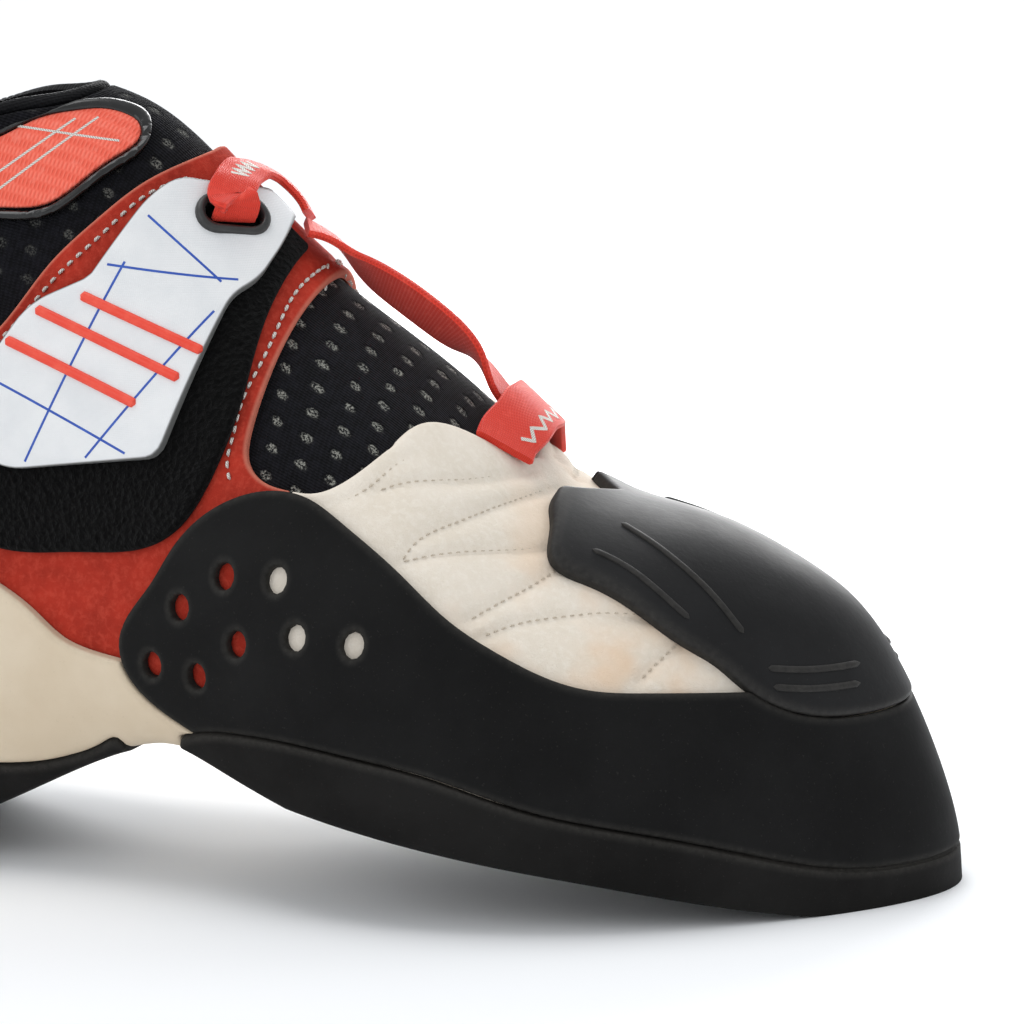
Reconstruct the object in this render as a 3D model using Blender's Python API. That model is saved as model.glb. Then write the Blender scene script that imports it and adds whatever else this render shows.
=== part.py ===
"""Downturned climbing shoe with a strapped instep, for the right foot.

Units are metres. +X points to the toe, +Y to the inner side, +Z up.
The origin is the middle of the heel's flat spot on the floor.
"""
import math

import bmesh
import bpy
import numpy as np

# Main sizes
LENGTH = 0.240
BALL_WIDTH = 0.092
ARCH_LIFT = 0.030
INSTEP_HEIGHT = 0.130
HEEL_SPOT = 0.167          # share of LENGTH from the heel's back to the origin

# Thicknesses
GAP = 0.0003
WALL = 0.0017
SOCK = 0.0015
RUBBER = 0.0018
PATCH = 0.0022
SOLE = 0.0046
SOLE_END = 0.0012
SOLE_LIP = 0.0022
SOLE_EDGE = 0.72           # share of the sole's thickness at its lower edge, full at the toe
TOE_FROM = 0.80            # share of LENGTH where the edge starts to grow full
TOE_FULL = 0.92
HEEL_RUBBER = 0.0024
INSOLE = 0.0020
PAD = 0.0014
TAB = 0.0017
TAB_CORNER = 0.0040
BADGE = 0.0009
PIPING = 0.0016
TAPE = 0.0014
TAPE_WIDTH = 0.0095
SLOT_TAPE_WIDTH = 0.0076
LOOP_WIDTH = 0.0108
BINDING_HEIGHT = 0.0024
HOLE_RADIUS = 0.0022
EYELET_LENGTH = 0.0130
EYELET_WIDTH = 0.0076
EYELET_RIM = 0.0016
EYELET_RISE = 0.0007

# Where the insole and the upper's turned-in margin meet, as shares of the way from edge to middle
EDGE_SHARE = 0.05
MARGIN_SHARE = 0.14
FILL_SHARE = 0.24

# Fineness of the faceted form
PIECES = 2
SIDE_ROWS = (0, 0.09, 0.19, 0.31, 0.44, 0.57, 0.70, 0.82, 0.92, 1)
FLOOR_ROWS = (EDGE_SHARE, MARGIN_SHARE, FILL_SHARE, 0.60)
HOLE_SIDES = 10
FLAT_ENOUGH = 0.9          # degrees between faces that are merged

# One row per section round the shoe, from the heel's back along the outer side to the toe and back.
# along, side, lift: the upper's lower edge, as shares of LENGTH, BALL_WIDTH and ARCH_LIFT.
# crest: where the section ends on the crest line, 0 at its back and 1 above the toes.
# belly, shoulder, crown: the section's control points, as shares of its width, and their heights.
# Columns: along, side, lift, crest, belly, belly_up, shoulder, shoulder_up, crown.
SECTIONS = (
    (0.030, 0.000, 0.26, 0.00, 1.66, 0.12, 0.86, 0.62, 0.64),
    (0.055, -0.130, 0.18, 0.02, 1.66, 0.12, 0.90, 0.62, 0.70),
    (0.120, -0.225, 0.13, 0.07, 1.56, 0.12, 0.97, 0.66, 0.78),
    (0.240, -0.265, 0.17, 0.20, 1.50, 0.14, 0.98, 0.70, 0.75),
    (0.340, -0.270, 0.42, 0.33, 1.48, 0.16, 0.90, 0.74, 0.60),
    (0.430, -0.300, 0.78, 0.43, 1.36, 0.18, 0.88, 0.75, 0.50),
    (0.500, -0.350, 0.95, 0.52, 1.22, 0.22, 0.90, 0.75, 0.48),
    (0.570, -0.415, 0.88, 0.61, 1.12, 0.24, 0.92, 0.76, 0.47),
    (0.650, -0.455, 0.74, 0.70, 1.07, 0.26, 0.94, 0.78, 0.45),
    (0.730, -0.430, 0.60, 0.80, 1.05, 0.28, 0.94, 0.78, 0.45),
    (0.810, -0.350, 0.46, 0.89, 1.05, 0.28, 0.85, 0.78, 0.45),
    (0.880, -0.225, 0.31, 0.97, 1.04, 0.28, 0.765, 0.78, 0.45),
    (0.940, -0.070, 0.21, 1.00, 1.01, 0.28, 0.655, 0.80, 0.45),
    (0.974, 0.060, 0.20, 1.00, 0.97, 0.28, 0.565, 0.80, 0.45),
    (0.985, 0.180, 0.205, 1.00, 0.94, 0.28, 0.52, 0.80, 0.45),
    (0.965, 0.290, 0.205, 1.00, 0.97, 0.28, 0.605, 0.80, 0.455),
    (0.905, 0.375, 0.235, 0.97, 1.02, 0.28, 0.79, 0.80, 0.445),
    (0.820, 0.412, 0.40, 0.89, 1.04, 0.28, 0.90, 0.80, 0.45),
    (0.735, 0.407, 0.55, 0.80, 1.06, 0.28, 0.96, 0.80, 0.45),
    (0.650, 0.372, 0.70, 0.70, 1.09, 0.26, 0.94, 0.78, 0.46),
    (0.570, 0.310, 0.84, 0.61, 1.14, 0.25, 0.93, 0.77, 0.47),
    (0.500, 0.255, 0.91, 0.52, 1.22, 0.23, 0.92, 0.76, 0.48),
    (0.430, 0.225, 0.85, 0.43, 1.34, 0.20, 0.90, 0.75, 0.50),
    (0.340, 0.215, 0.47, 0.33, 1.50, 0.16, 0.90, 0.74, 0.60),
    (0.240, 0.240, 0.17, 0.20, 1.52, 0.14, 0.96, 0.70, 0.75),
    (0.120, 0.215, 0.13, 0.07, 1.56, 0.12, 0.97, 0.66, 0.78),
    (0.055, 0.130, 0.18, 0.02, 1.66, 0.12, 0.90, 0.62, 0.70),
)
TIP_ROW = 14               # the section at the tip of the toe
FAN_ROW = 12               # the first section that ends at the crest line's front end

# The crest line: along, side, height as shares of LENGTH, BALL_WIDTH and INSTEP_HEIGHT
CREST = (
    (0.120, 0.000, 1.150),
    (0.220, 0.000, 1.145),
    (0.330, 0.010, 1.021),
    (0.430, 0.030, 0.964),
    (0.500, 0.040, 0.855),
    (0.560, 0.050, 0.752),
    (0.660, 0.070, 0.607),
    (0.740, 0.085, 0.473),
    (0.820, 0.100, 0.432),
    (0.870, 0.110, 0.392),
)

# Lines seen from the side, each point (along, height) as shares of LENGTH and INSTEP_HEIGHT
OUT = 1.30                 # height share above everything
BACK = -0.10
FRONT = 1.10
RIM_LINE = ((BACK, 0.80), (0.05, 0.81), (0.15, 0.855), (0.25, 0.915), (0.31, 0.951), (0.351, 0.975),
            (0.385, 0.987), (0.400, 1.00))
QUARTER_LINE = ((BACK, 0.74), (0.06, 0.70), (0.16, 0.63), (0.25, 0.61), (0.32, 0.64), (0.361, 0.70),
                (0.392, 0.78), (0.422, 0.837), (0.451, 0.883), (0.480, 0.910))
ARM_LINE = ((0.575, 0.80), (0.566, 0.735), (0.560, 0.685), (0.556, 0.641), (0.553, 0.596), (0.555, 0.561),
            (0.568, 0.539), (0.589, 0.530))
VAMP_LINE = ((0.589, 0.530), (0.607, 0.529), (0.624, 0.542), (0.639, 0.565), (0.647, 0.580))
THROAT_END = ((0.647, -0.23), (0.659, -0.14), (0.681, -0.065), (0.702, 0.01), (0.710, 0.075))
SOCK_LOW_LINE = ((BACK, 0.64), (0.06, 0.60), (0.16, 0.53), (0.25, 0.51), (0.36, 0.54), (0.46, 0.50),
                 (0.53, 0.44), (0.60, 0.43), (0.66, 0.46), (0.72, 0.47))
SOCK_FRONT = 0.755
RAND_LINE = ((0.528, 0.217), (0.494, 0.248), (0.473, 0.290), (0.469, 0.325), (0.476, 0.360), (0.493, 0.403),
             (0.509, 0.452), (0.528, 0.492), (0.552, 0.520), (0.579, 0.533), (0.602, 0.529), (0.630, 0.503),
             (0.675, 0.446), (0.712, 0.389), (0.747, 0.348), (0.779, 0.318), (0.805, 0.303), (0.838, 0.296),
             (0.893, 0.286))
SEAM_LINE = ((0.500, 0.198), (0.516, 0.207), (0.531, 0.217), (0.562, 0.226), (0.599, 0.227), (0.655, 0.216),
             (0.704, 0.199), (0.769, 0.158), (0.818, 0.134), (0.870, 0.108), (0.914, 0.078), (0.957, 0.052),
             (1.000, 0.045), (FRONT, 0.045))
PATCH_LINE = ((0.732, 0.560), (0.735, 0.530), (0.738, 0.507), (0.748, 0.481), (0.754, 0.459),
              (0.759, 0.447), (0.770, 0.434), (0.795, 0.415), (0.828, 0.380), (0.850, 0.352),
              (0.873, 0.323), (0.893, 0.289), (0.910, 0.266),
              (0.934, 0.247), (0.969, 0.240), (FRONT, 0.240))
NOTCH = ((0.700, -0.045), (0.738, -0.003), (0.762, 0.109), (0.719, 0.235), (0.700, 0.270))
CREAM_LINE = ((BACK, 0.60), (0.06, 0.585), (0.16, 0.540), (0.26, 0.475), (0.345, 0.403), (0.400, 0.350),
              (0.424, 0.318), (0.440, 0.308), (0.467, 0.300))
HEEL_LINE = ((BACK, 0.185), (0.06, 0.165), (0.18, 0.142), (0.30, 0.135), (0.369, 0.139), (0.405, 0.147),
             (0.428, 0.160), (0.449, 0.179), (0.461, 0.189), (0.468, 0.170))
SOLE_BACK = 0.516
PAD_OUTLINE = ((0.548, 0.850), (0.549, 0.740), (0.545, 0.632), (0.531, 0.537), (0.510, 0.475), (0.490, 0.450),
               (0.430, 0.430), (0.385, 0.423), (0.345, 0.440), (0.318, 0.485), (0.318, 0.560), (0.340, 0.620),
               (0.385, 0.700), (0.430, 0.760), (0.470, 0.850))
TAB_OUTLINE = ((0.475, 0.892), (0.523, 0.870), (0.543, 0.836), (0.546, 0.808), (0.541, 0.772), (0.527, 0.755),
               (0.496, 0.572), (0.489, 0.560), (0.381, 0.528), (0.355, 0.545), (0.352, 0.640), (0.386, 0.735),
               (0.428, 0.771), (0.433, 0.787), (0.459, 0.867))
BADGE_OUTLINE = ((0.300, 0.898), (0.330, 0.917), (0.350, 0.934), (0.368, 0.951), (0.390, 0.960),
                 (0.408, 0.963), (0.424, 0.957), (0.435, 0.944), (0.437, 0.929), (0.428, 0.912),
                 (0.412, 0.890), (0.398, 0.867), (0.384, 0.850), (0.350, 0.842), (0.310, 0.846),
                 (0.292, 0.868))
PIPING_REACH = 0.014       # height share the piping adds below and in front of the badge
PIPING_ENDS = ((0.290, 0.880), (0.350, 0.945), (0.405, 0.985))

# Eight holes through the rand's outer side
HOLES = ((0.552, 0.426), (0.592, 0.429), (0.518, 0.380), (0.496, 0.301), (0.533, 0.296), (0.565, 0.345),
         (0.610, 0.362), (0.652, 0.359))
HOLES_FROM = -0.2          # share of BALL_WIDTH; the holes lie on the outer side of this
EYELET_AT = (0.500, 0.816)
EYELET_RUN = (0.78, 0.61, -0.13)

# The strap over the instep and its loop through the eyelet: the middle line as shares of LENGTH,
# BALL_WIDTH and INSTEP_HEIGHT. yaw: the way across the tape, in degrees from the toe's way toward
# the inner side. rise: how far that way points up, in degrees.
# Columns: along, side, height, yaw, rise.
STRAP = (
    (0.546, 0.022, 0.814, 90, -6),
    (0.562, 0.042, 0.798, 90, -19),
    (0.580, 0.056, 0.768, 90, -40),
    (0.611, 0.062, 0.729, 90, -54),
    (0.640, 0.073, 0.690, 90, -52),
    (0.660, 0.095, 0.652, 90, -38),
    (0.676, 0.128, 0.600, 90, -14),
    (0.694, 0.144, 0.567, 90, -11),
)
TAB_LOOP = (
    (0.513, -0.124, 0.865, 27, -10),
    (0.511, -0.099, 0.878, 28, -13),
    (0.509, -0.057, 0.886, 31, -16),
    (0.509, -0.009, 0.889, 26, -18),
    (0.511, 0.029, 0.883, -8, -18),
    (0.517, 0.064, 0.871, -42, -10),
    (0.526, 0.078, 0.855, -56, -5),
    (0.535, 0.079, 0.836, -64, 0),
    (0.540, 0.074, 0.823, -68, 2),
)
# Where the loop leaves the eyelet: metres across it and out of it
LOOP_START = ((-0.0008, 0.0006), (-0.0004, 0.0020), (0.0010, 0.0034))
# The loop on the vamp: along and side as shares, and the height over the last in metres
VAMP_LOOP_DIP = -0.70      # radians the way across the loop points down toward the toe
VAMP_LOOP = (
    (0.691, -0.035, 0.0028),
    (0.689, 0.000, 0.0036),
    (0.687, 0.040, 0.0049),
    (0.685, 0.083, 0.0056),
    (0.683, 0.130, 0.0056),
    (0.681, 0.180, 0.0051),
    (0.679, 0.232, 0.0036),
    (0.678, 0.265, 0.0029),
)

COLOURS = {
    "outsole": (0.020, 0.019, 0.018), "rand": (0.017, 0.017, 0.017), "toe_patch": (0.026, 0.027, 0.029),
    "upper": (0.46, 0.055, 0.030), "tongue": (0.012, 0.012, 0.015), "insole": (0.20, 0.17, 0.13),
    "heel_band": (0.64, 0.53, 0.40), "heel_sole": (0.017, 0.017, 0.017), "closure_pad": (0.008, 0.008, 0.009),
    "closure_tab": (0.82, 0.83, 0.83), "tab_eyelet": (0.05, 0.05, 0.05), "tab_loop": (0.72, 0.06, 0.03),
    "instep_strap": (0.72, 0.06, 0.03), "vamp_loop": (0.72, 0.06, 0.03),
    "collar_binding": (0.02, 0.02, 0.022), "tongue_badge": (0.80, 0.14, 0.09), "badge_piping": (0.02, 0.02, 0.02),
}


def clear_scene():
    for obj in list(bpy.data.objects):
        bpy.data.objects.remove(obj, do_unlink=True)


def spline(knots, values, at, closed=False):
    """Smooth curve through values at knots, read at the given places."""
    knots = np.asarray(knots, float)
    v = np.asarray(values, float)
    h = np.diff(knots)
    n = len(v)
    at = np.asarray(at, float)
    m = np.eye(n)
    r = np.zeros((n, v.shape[1]))
    if closed:
        m[:] = 0
        v = np.vstack([v, v[:1]])
        at = np.mod(at, knots[-1])
    for i in range(0 if closed else 1, n if closed else n - 1):
        m[i, i - 1] += h[i - 1]
        m[i, i] += 2 * (h[i - 1] + h[i])
        m[i, (i + 1) % n] += h[i]
        before = (v[i] - v[i - 1 if i else n - 1]) / h[i - 1]
        r[i] = 6 * ((v[i + 1] - v[i]) / h[i] - before)
    if not closed:
        m[0, 0] = m[-1, -1] = 1
    bend = np.linalg.solve(m, r)
    if closed:
        bend = np.vstack([bend, bend[:1]])
    j = np.clip(np.searchsorted(knots, at, side="right") - 1, 0, len(h) - 1)
    a = ((knots[j + 1] - at) / h[j])[..., None]
    b = 1 - a
    size = (h[j] ** 2)[..., None] / 6
    return a * v[j] + b * v[j + 1] + ((a ** 3 - a) * bend[j] + (b ** 3 - b) * bend[j + 1]) * size


def steady(knots, values, at):
    """Smooth curve through values that never turns back between two of them."""
    h = np.diff(knots)
    d = np.diff(values) / h
    m = np.zeros(len(knots))
    for i in range(1, len(knots) - 1):
        if d[i - 1] * d[i] > 0:
            a, b = 2 * h[i] + h[i - 1], h[i] + 2 * h[i - 1]
            m[i] = (a + b) / (a / d[i - 1] + b / d[i])
    m[0], m[-1] = d[0], d[-1]
    j = np.clip(np.searchsorted(knots, at, side="right") - 1, 0, len(h) - 1)
    u = (at - knots[j]) / h[j]
    rise = u * (1 - u) ** 2 * h[j] * m[j] + u * u * (u - 1) * h[j] * m[j + 1]
    return (1 + 2 * u) * (1 - u) ** 2 * values[j] + u * u * (3 - 2 * u) * values[j + 1] + rise


def real(along, side=0.0, up=0.0):
    """Shares of the main sizes to metres."""
    return ((along - HEEL_SPOT) * LENGTH, side * BALL_WIDTH, up * INSTEP_HEIGHT)


class Last:
    """The foot's form: sections that rise from the upper's lower edge to a crest line."""

    def __init__(self):
        self.rows = np.array(SECTIONS, float)
        self.rows[:, 0] = (self.rows[:, 0] - HEEL_SPOT) * LENGTH
        self.rows[:, 1] *= BALL_WIDTH
        self.rows[:, 2] *= ARCH_LIFT
        loop = np.vstack([self.rows[:, :2], self.rows[:1, :2]])
        self.knots = np.concatenate([[0], np.cumsum(np.linalg.norm(np.diff(loop, axis=0), axis=1))])
        self.crest = np.array([real(*row) for row in CREST])
        run = np.concatenate([[0], np.cumsum(np.linalg.norm(np.diff(self.crest, axis=0), axis=1))])
        self.crest_knots = run / run[-1]

    def crest_share(self, k):
        half = self.knots[TIP_ROW]
        q = np.concatenate([self.rows[:, 3], self.rows[:1, 3]])
        out = steady(self.knots[:TIP_ROW + 1], q[:TIP_ROW + 1], np.clip(k, 0, half))
        back = steady(self.knots[TIP_ROW:], q[TIP_ROW:], np.clip(k, half, self.knots[-1]))
        return np.clip(np.where(k <= half, out, back), 0, 1)

    def crest_point(self, q):
        step = 1e-3
        ahead = spline(self.crest_knots, self.crest, np.clip(q + step, 0, 1))
        behind = spline(self.crest_knots, self.crest, np.clip(q - step, 0, 1))
        run = ahead - behind
        return spline(self.crest_knots, self.crest, q), run[..., 2] / run[..., 0]

    def at(self, k, s):
        """Point of the form at k round the lower edge and share s up the section."""
        k = np.mod(np.asarray(k, float), self.knots[-1])
        r = spline(self.knots, self.rows, k, closed=True)
        crest, slope = self.crest_point(self.crest_share(k))
        flat = r[..., :2] - crest[..., :2]
        w = np.linalg.norm(flat, axis=-1)
        d = flat / w[..., None]
        h = crest[..., 2] - r[..., 2]
        belly, belly_up, shoulder, shoulder_up, crown = (r[..., i] for i in range(4, 9))
        reach = (w, w * belly, w * shoulder, w * crown, 0 * w)
        rise = (0 * w, h * belly_up, h * shoulder_up, h + slope * d[..., 0] * w * crown, h)
        share = ((1 - s) ** 4, 4 * s * (1 - s) ** 3, 6 * s ** 2 * (1 - s) ** 2, 4 * s ** 3 * (1 - s), s ** 4)
        out = sum(a * b for a, b in zip(reach, share))
        up = sum(a * b for a, b in zip(rise, share))
        flat_point = crest[..., :2] + d * out[..., None]
        return np.concatenate([flat_point, (r[..., 2] + up)[..., None]], axis=-1)

    def stations(self, pieces):
        """Places round the lower edge; the two sides meet the crest line at the same points."""
        f = np.arange(TIP_ROW * pieces + 1) / pieces
        outer = np.interp(f, np.arange(TIP_ROW + 1), self.knots[:TIP_ROW + 1])
        q = self.crest_share(outer)
        dense = np.linspace(self.knots[TIP_ROW], self.knots[-1], 4001)
        dense_q = self.crest_share(dense)
        inner = []
        for j in range(len(outer) - 2, 0, -1):
            if f[j] >= FAN_ROW:
                share = (TIP_ROW - f[j]) / (TIP_ROW - FAN_ROW)
                inner.append(self.knots[TIP_ROW] + share * (self.knots[TIP_ROW + 1] - self.knots[TIP_ROW]))
            else:
                inner.append(float(np.interp(-q[j], -dense_q, dense)))
        return np.concatenate([outer, inner]), len(outer) - 1


class Form:
    """Welded mesh of the last, sides and underside, with one outward direction per point."""

    def __init__(self, last):
        k, tip = last.stations(PIECES)
        count = len(k)
        side = last.at(k[:, None], np.array(SIDE_ROWS)[None, :])
        edge, top = side[:, 0], side[:, -1]
        mirror = [0 if i == 0 else count - i for i in range(count)]
        fan = {i for i in range(count) if last.crest_share(k[i]) >= 1}
        first = min(fan)
        middle = np.empty_like(edge)
        both = (edge + edge[mirror]) / 2
        for i in range(count):
            a = first if i in fan else i
            level = np.interp(max(top[a][0], both[a][0]), both[:tip + 1, 0], both[:tip + 1, 2])
            middle[i] = (top[a][0], top[a][1], level)
        points, self.row_of = [], []
        index = np.empty((count, len(FLOOR_ROWS) + 1 + len(SIDE_ROWS)), int)
        shared = {}
        rows = [("middle", 1.0)] + [("floor", r) for r in reversed(FLOOR_ROWS)] + [("side", j) for j in
                                                                                  range(len(SIDE_ROWS))]
        for i in range(count):
            pair = first if i in fan else min(i, mirror[i])
            for row, (kind, value) in enumerate(rows):
                if kind == "middle":
                    point = middle[i]
                elif kind == "floor":
                    point = edge[i] + (middle[i] - edge[i]) * value
                else:
                    point = side[i][value]
                key = (row, pair) if row in (0, len(rows) - 1) else (row, i, "own")
                if key not in shared:
                    shared[key] = len(points)
                    points.append(point)
                    self.row_of.append(row - len(FLOOR_ROWS) - 1)
                index[i, row] = shared[key]
        self.points = np.array(points)
        self.row_of = np.array(self.row_of)
        self.faces, self.face_row, self.face_station = [], [], []
        for i in range(count):
            n = (i + 1) % count
            for row in range(len(rows) - 1):
                quad = (index[i, row], index[n, row], index[n, row + 1], index[i, row + 1])
                for tri in ((quad[0], quad[1], quad[2]), (quad[0], quad[2], quad[3])):
                    if len(set(tri)) == 3:
                        self.faces.append(tri)
                        self.face_row.append(row - len(FLOOR_ROWS) - 1)
                        self.face_station.append(i)
        self.faces = np.array(self.faces)
        self.face_row = np.array(self.face_row)
        self.face_station = np.array(self.face_station)
        self.count, self.tip = count, tip
        self.aim()

    def aim(self):
        a, b, c = (self.points[self.faces[:, i]] for i in range(3))
        cross = np.cross(b - a, c - a)
        area = np.linalg.norm(cross, axis=1)
        flat = cross / area[:, None]
        total = np.zeros_like(self.points)
        for i in range(3):
            np.add.at(total, self.faces[:, i], cross)
        unit = total / np.linalg.norm(total, axis=1)[:, None]
        spread, weight = np.zeros(len(self.points)), np.zeros(len(self.points))
        for i in range(3):
            np.add.at(spread, self.faces[:, i], np.abs((unit[self.faces[:, i]] * flat).sum(1)) * area)
            np.add.at(weight, self.faces[:, i], area)
        self.aim_at = unit / np.clip(spread / weight, 0.74, 1)[:, None]
        under = self.row_of < 0
        self.aim_at[under] = (0, 0, -1)
        self.out = self.aim_at.copy()
        self.out[:, 2] = 0
        self.out /= np.maximum(np.linalg.norm(self.out, axis=1), 1e-9)[:, None]

    def shift(self, distance):
        """Points moved outward by a distance, one number or one per point."""
        distance = np.broadcast_to(np.asarray(distance, float), (len(self.points),))
        return self.points + self.aim_at * distance[:, None]


def new_object(name, points, faces):
    mesh = bpy.data.meshes.new(name)
    mesh.from_pydata([tuple(p) for p in points], [], [tuple(f) for f in faces])
    mesh.update()
    obj = bpy.data.objects.new(name, mesh)
    bpy.context.scene.collection.objects.link(obj)
    return obj


def tidy(obj, merge=2e-5, aim=True):
    """Merged points, triangles, and faces that look outward."""
    work = bmesh.new()
    work.from_mesh(obj.data)
    bmesh.ops.remove_doubles(work, verts=work.verts, dist=merge)
    bmesh.ops.dissolve_degenerate(work, edges=work.edges, dist=merge)
    bmesh.ops.triangulate(work, faces=work.faces)
    if aim:
        bmesh.ops.recalc_face_normals(work, faces=work.faces)
    work.to_mesh(obj.data)
    work.free()
    obj.data.update()


def shell(name, form, keep, inner, outer):
    """Closed layer over the kept faces between two sets of moved points."""
    faces = form.faces[keep]
    used = np.unique(faces)
    place = -np.ones(len(form.points), int)
    place[used] = np.arange(len(used))
    n = len(used)
    points = np.vstack([outer[used], inner[used]])
    out = [tuple(place[f]) for f in faces]
    solid = list(out) + [(c + n, b + n, a + n) for a, b, c in out]
    edges = {}
    for a, b, c in out:
        for edge in ((a, b), (b, c), (c, a)):
            edges[edge] = True
    for a, b in edges:
        if (b, a) not in edges:
            solid.append((b, a, a + n))
            solid.append((b, a + n, b + n))
    obj = new_object(name, points, solid)
    tidy(obj, aim=False)
    return obj


def combine(obj, cutter, operation):
    """Boolean of two objects, worked out at once."""
    mod = obj.modifiers.new("cut", "BOOLEAN")
    mod.operation = operation
    mod.solver = "EXACT"
    mod.object = cutter
    bpy.context.view_layer.update()
    graph = bpy.context.evaluated_depsgraph_get()
    mesh = bpy.data.meshes.new_from_object(obj.evaluated_get(graph))
    obj.modifiers.clear()
    old = obj.data
    obj.data = mesh
    mesh.name = obj.name
    bpy.data.meshes.remove(old)
    bpy.data.objects.remove(cutter, do_unlink=True)
    tidy(obj)
    return obj


def smooth_line(points, pieces=2):
    points = np.array(points, float)
    knots = np.concatenate([[0], np.cumsum(np.linalg.norm(np.diff(points, axis=0), axis=1))])
    at = np.concatenate([np.linspace(a, b, pieces, endpoint=False) for a, b in zip(knots[:-1], knots[1:])] +
                        [[knots[-1]]])
    return [tuple(p) for p in spline(knots, points, at)]


def smooth_ring(points, pieces=2):
    points = np.array(points, float)
    loop = np.vstack([points, points[:1]])
    knots = np.concatenate([[0], np.cumsum(np.linalg.norm(np.diff(loop, axis=0), axis=1))])
    at = np.concatenate([np.linspace(a, b, pieces, endpoint=False) for a, b in zip(knots[:-1], knots[1:])])
    return [tuple(p) for p in spline(knots, points, at, closed=True)]


def rounded(points, radius, pieces=2):
    """Corners of a closed outline, in metres, turned into short arcs."""
    points = [np.array(p, float) for p in points]
    result = []
    for i, here in enumerate(points):
        before, after = points[i - 1] - here, points[(i + 1) % len(points)] - here
        reach = min(radius, np.linalg.norm(before) * 0.45, np.linalg.norm(after) * 0.45)
        start = here + before / np.linalg.norm(before) * reach
        end = here + after / np.linalg.norm(after) * reach
        for j in range(pieces + 1):
            u = j / pieces
            result.append(tuple(start * (1 - u) ** 2 + 2 * here * u * (1 - u) + end * u * u))
    return result


def side_points(line):
    """Side view shares to metres."""
    return [((a - HEEL_SPOT) * LENGTH, h * INSTEP_HEIGHT) for a, h in line]


def plan_points(line):
    """Plan view shares to metres."""
    return [((a - HEEL_SPOT) * LENGTH, s * BALL_WIDTH) for a, s in line]


def prism(name, outline, low, high, across="y"):
    """Solid of an outline pushed along y, or up z for a plan outline."""
    n = len(outline)
    if across == "y":
        points = [(x, low, z) for x, z in outline] + [(x, high, z) for x, z in outline]
    else:
        points = [(x, y, low) for x, y in outline] + [(x, y, high) for x, y in outline]
    faces = [tuple(range(n)), tuple(range(2 * n - 1, n - 1, -1))]
    faces += [(i, (i + 1) % n, (i + 1) % n + n, i + n) for i in range(n)]
    obj = new_object(name, points, faces)
    tidy(obj, 1e-6)
    return obj


def side_prism(outline, low=-1.0, high=1.0):
    return prism("cutter", outline, low * BALL_WIDTH, high * BALL_WIDTH)


def under(line):
    """Outline of everything below a side view line."""
    return list(line) + [(line[-1][0], -0.05), (line[0][0], -0.05)]


def above(line):
    """Outline of everything above a side view line."""
    return list(line) + [(line[-1][0], OUT * INSTEP_HEIGHT), (line[0][0], OUT * INSTEP_HEIGHT)]


def moved(line, dx=0.0, dz=0.0):
    return [(x + dx, z + dz) for x, z in line]


def inset(outline, distance):
    """Closed outline moved inward, or outward where the distance is negative."""
    p = np.array(outline, float)
    area = 0.5 * np.sum(p[:, 0] * np.roll(p[:, 1], -1) - np.roll(p[:, 0], -1) * p[:, 1])
    run = np.roll(p, -1, 0) - np.roll(p, 1, 0)
    normal = np.stack([-run[:, 1], run[:, 0]], 1) / np.linalg.norm(run, axis=1)[:, None]
    return [tuple(q) for q in p + normal * distance * (1 if area > 0 else -1)]


def sweep(name, centres, widths, ups, half, thick):
    """Flat tape along a line: unit width and up directions at each point."""
    points, faces = [], []
    for c, w, u in zip(centres, widths, ups):
        for a, b in ((-1, -1), (1, -1), (1, 1), (-1, 1)):
            points.append(c + w * half * a + u * thick / 2 * b)
    n = len(centres)
    for i in range(n - 1):
        for j in range(4):
            a, b = i * 4 + j, i * 4 + (j + 1) % 4
            faces.append((a, b, b + 4, a + 4))
    faces.append((0, 3, 2, 1))
    faces.append(tuple(4 * (n - 1) + j for j in range(4)))
    obj = new_object(name, points, faces)
    tidy(obj, 1e-6)
    return obj


def unit(v):
    return v / np.linalg.norm(v)


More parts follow.
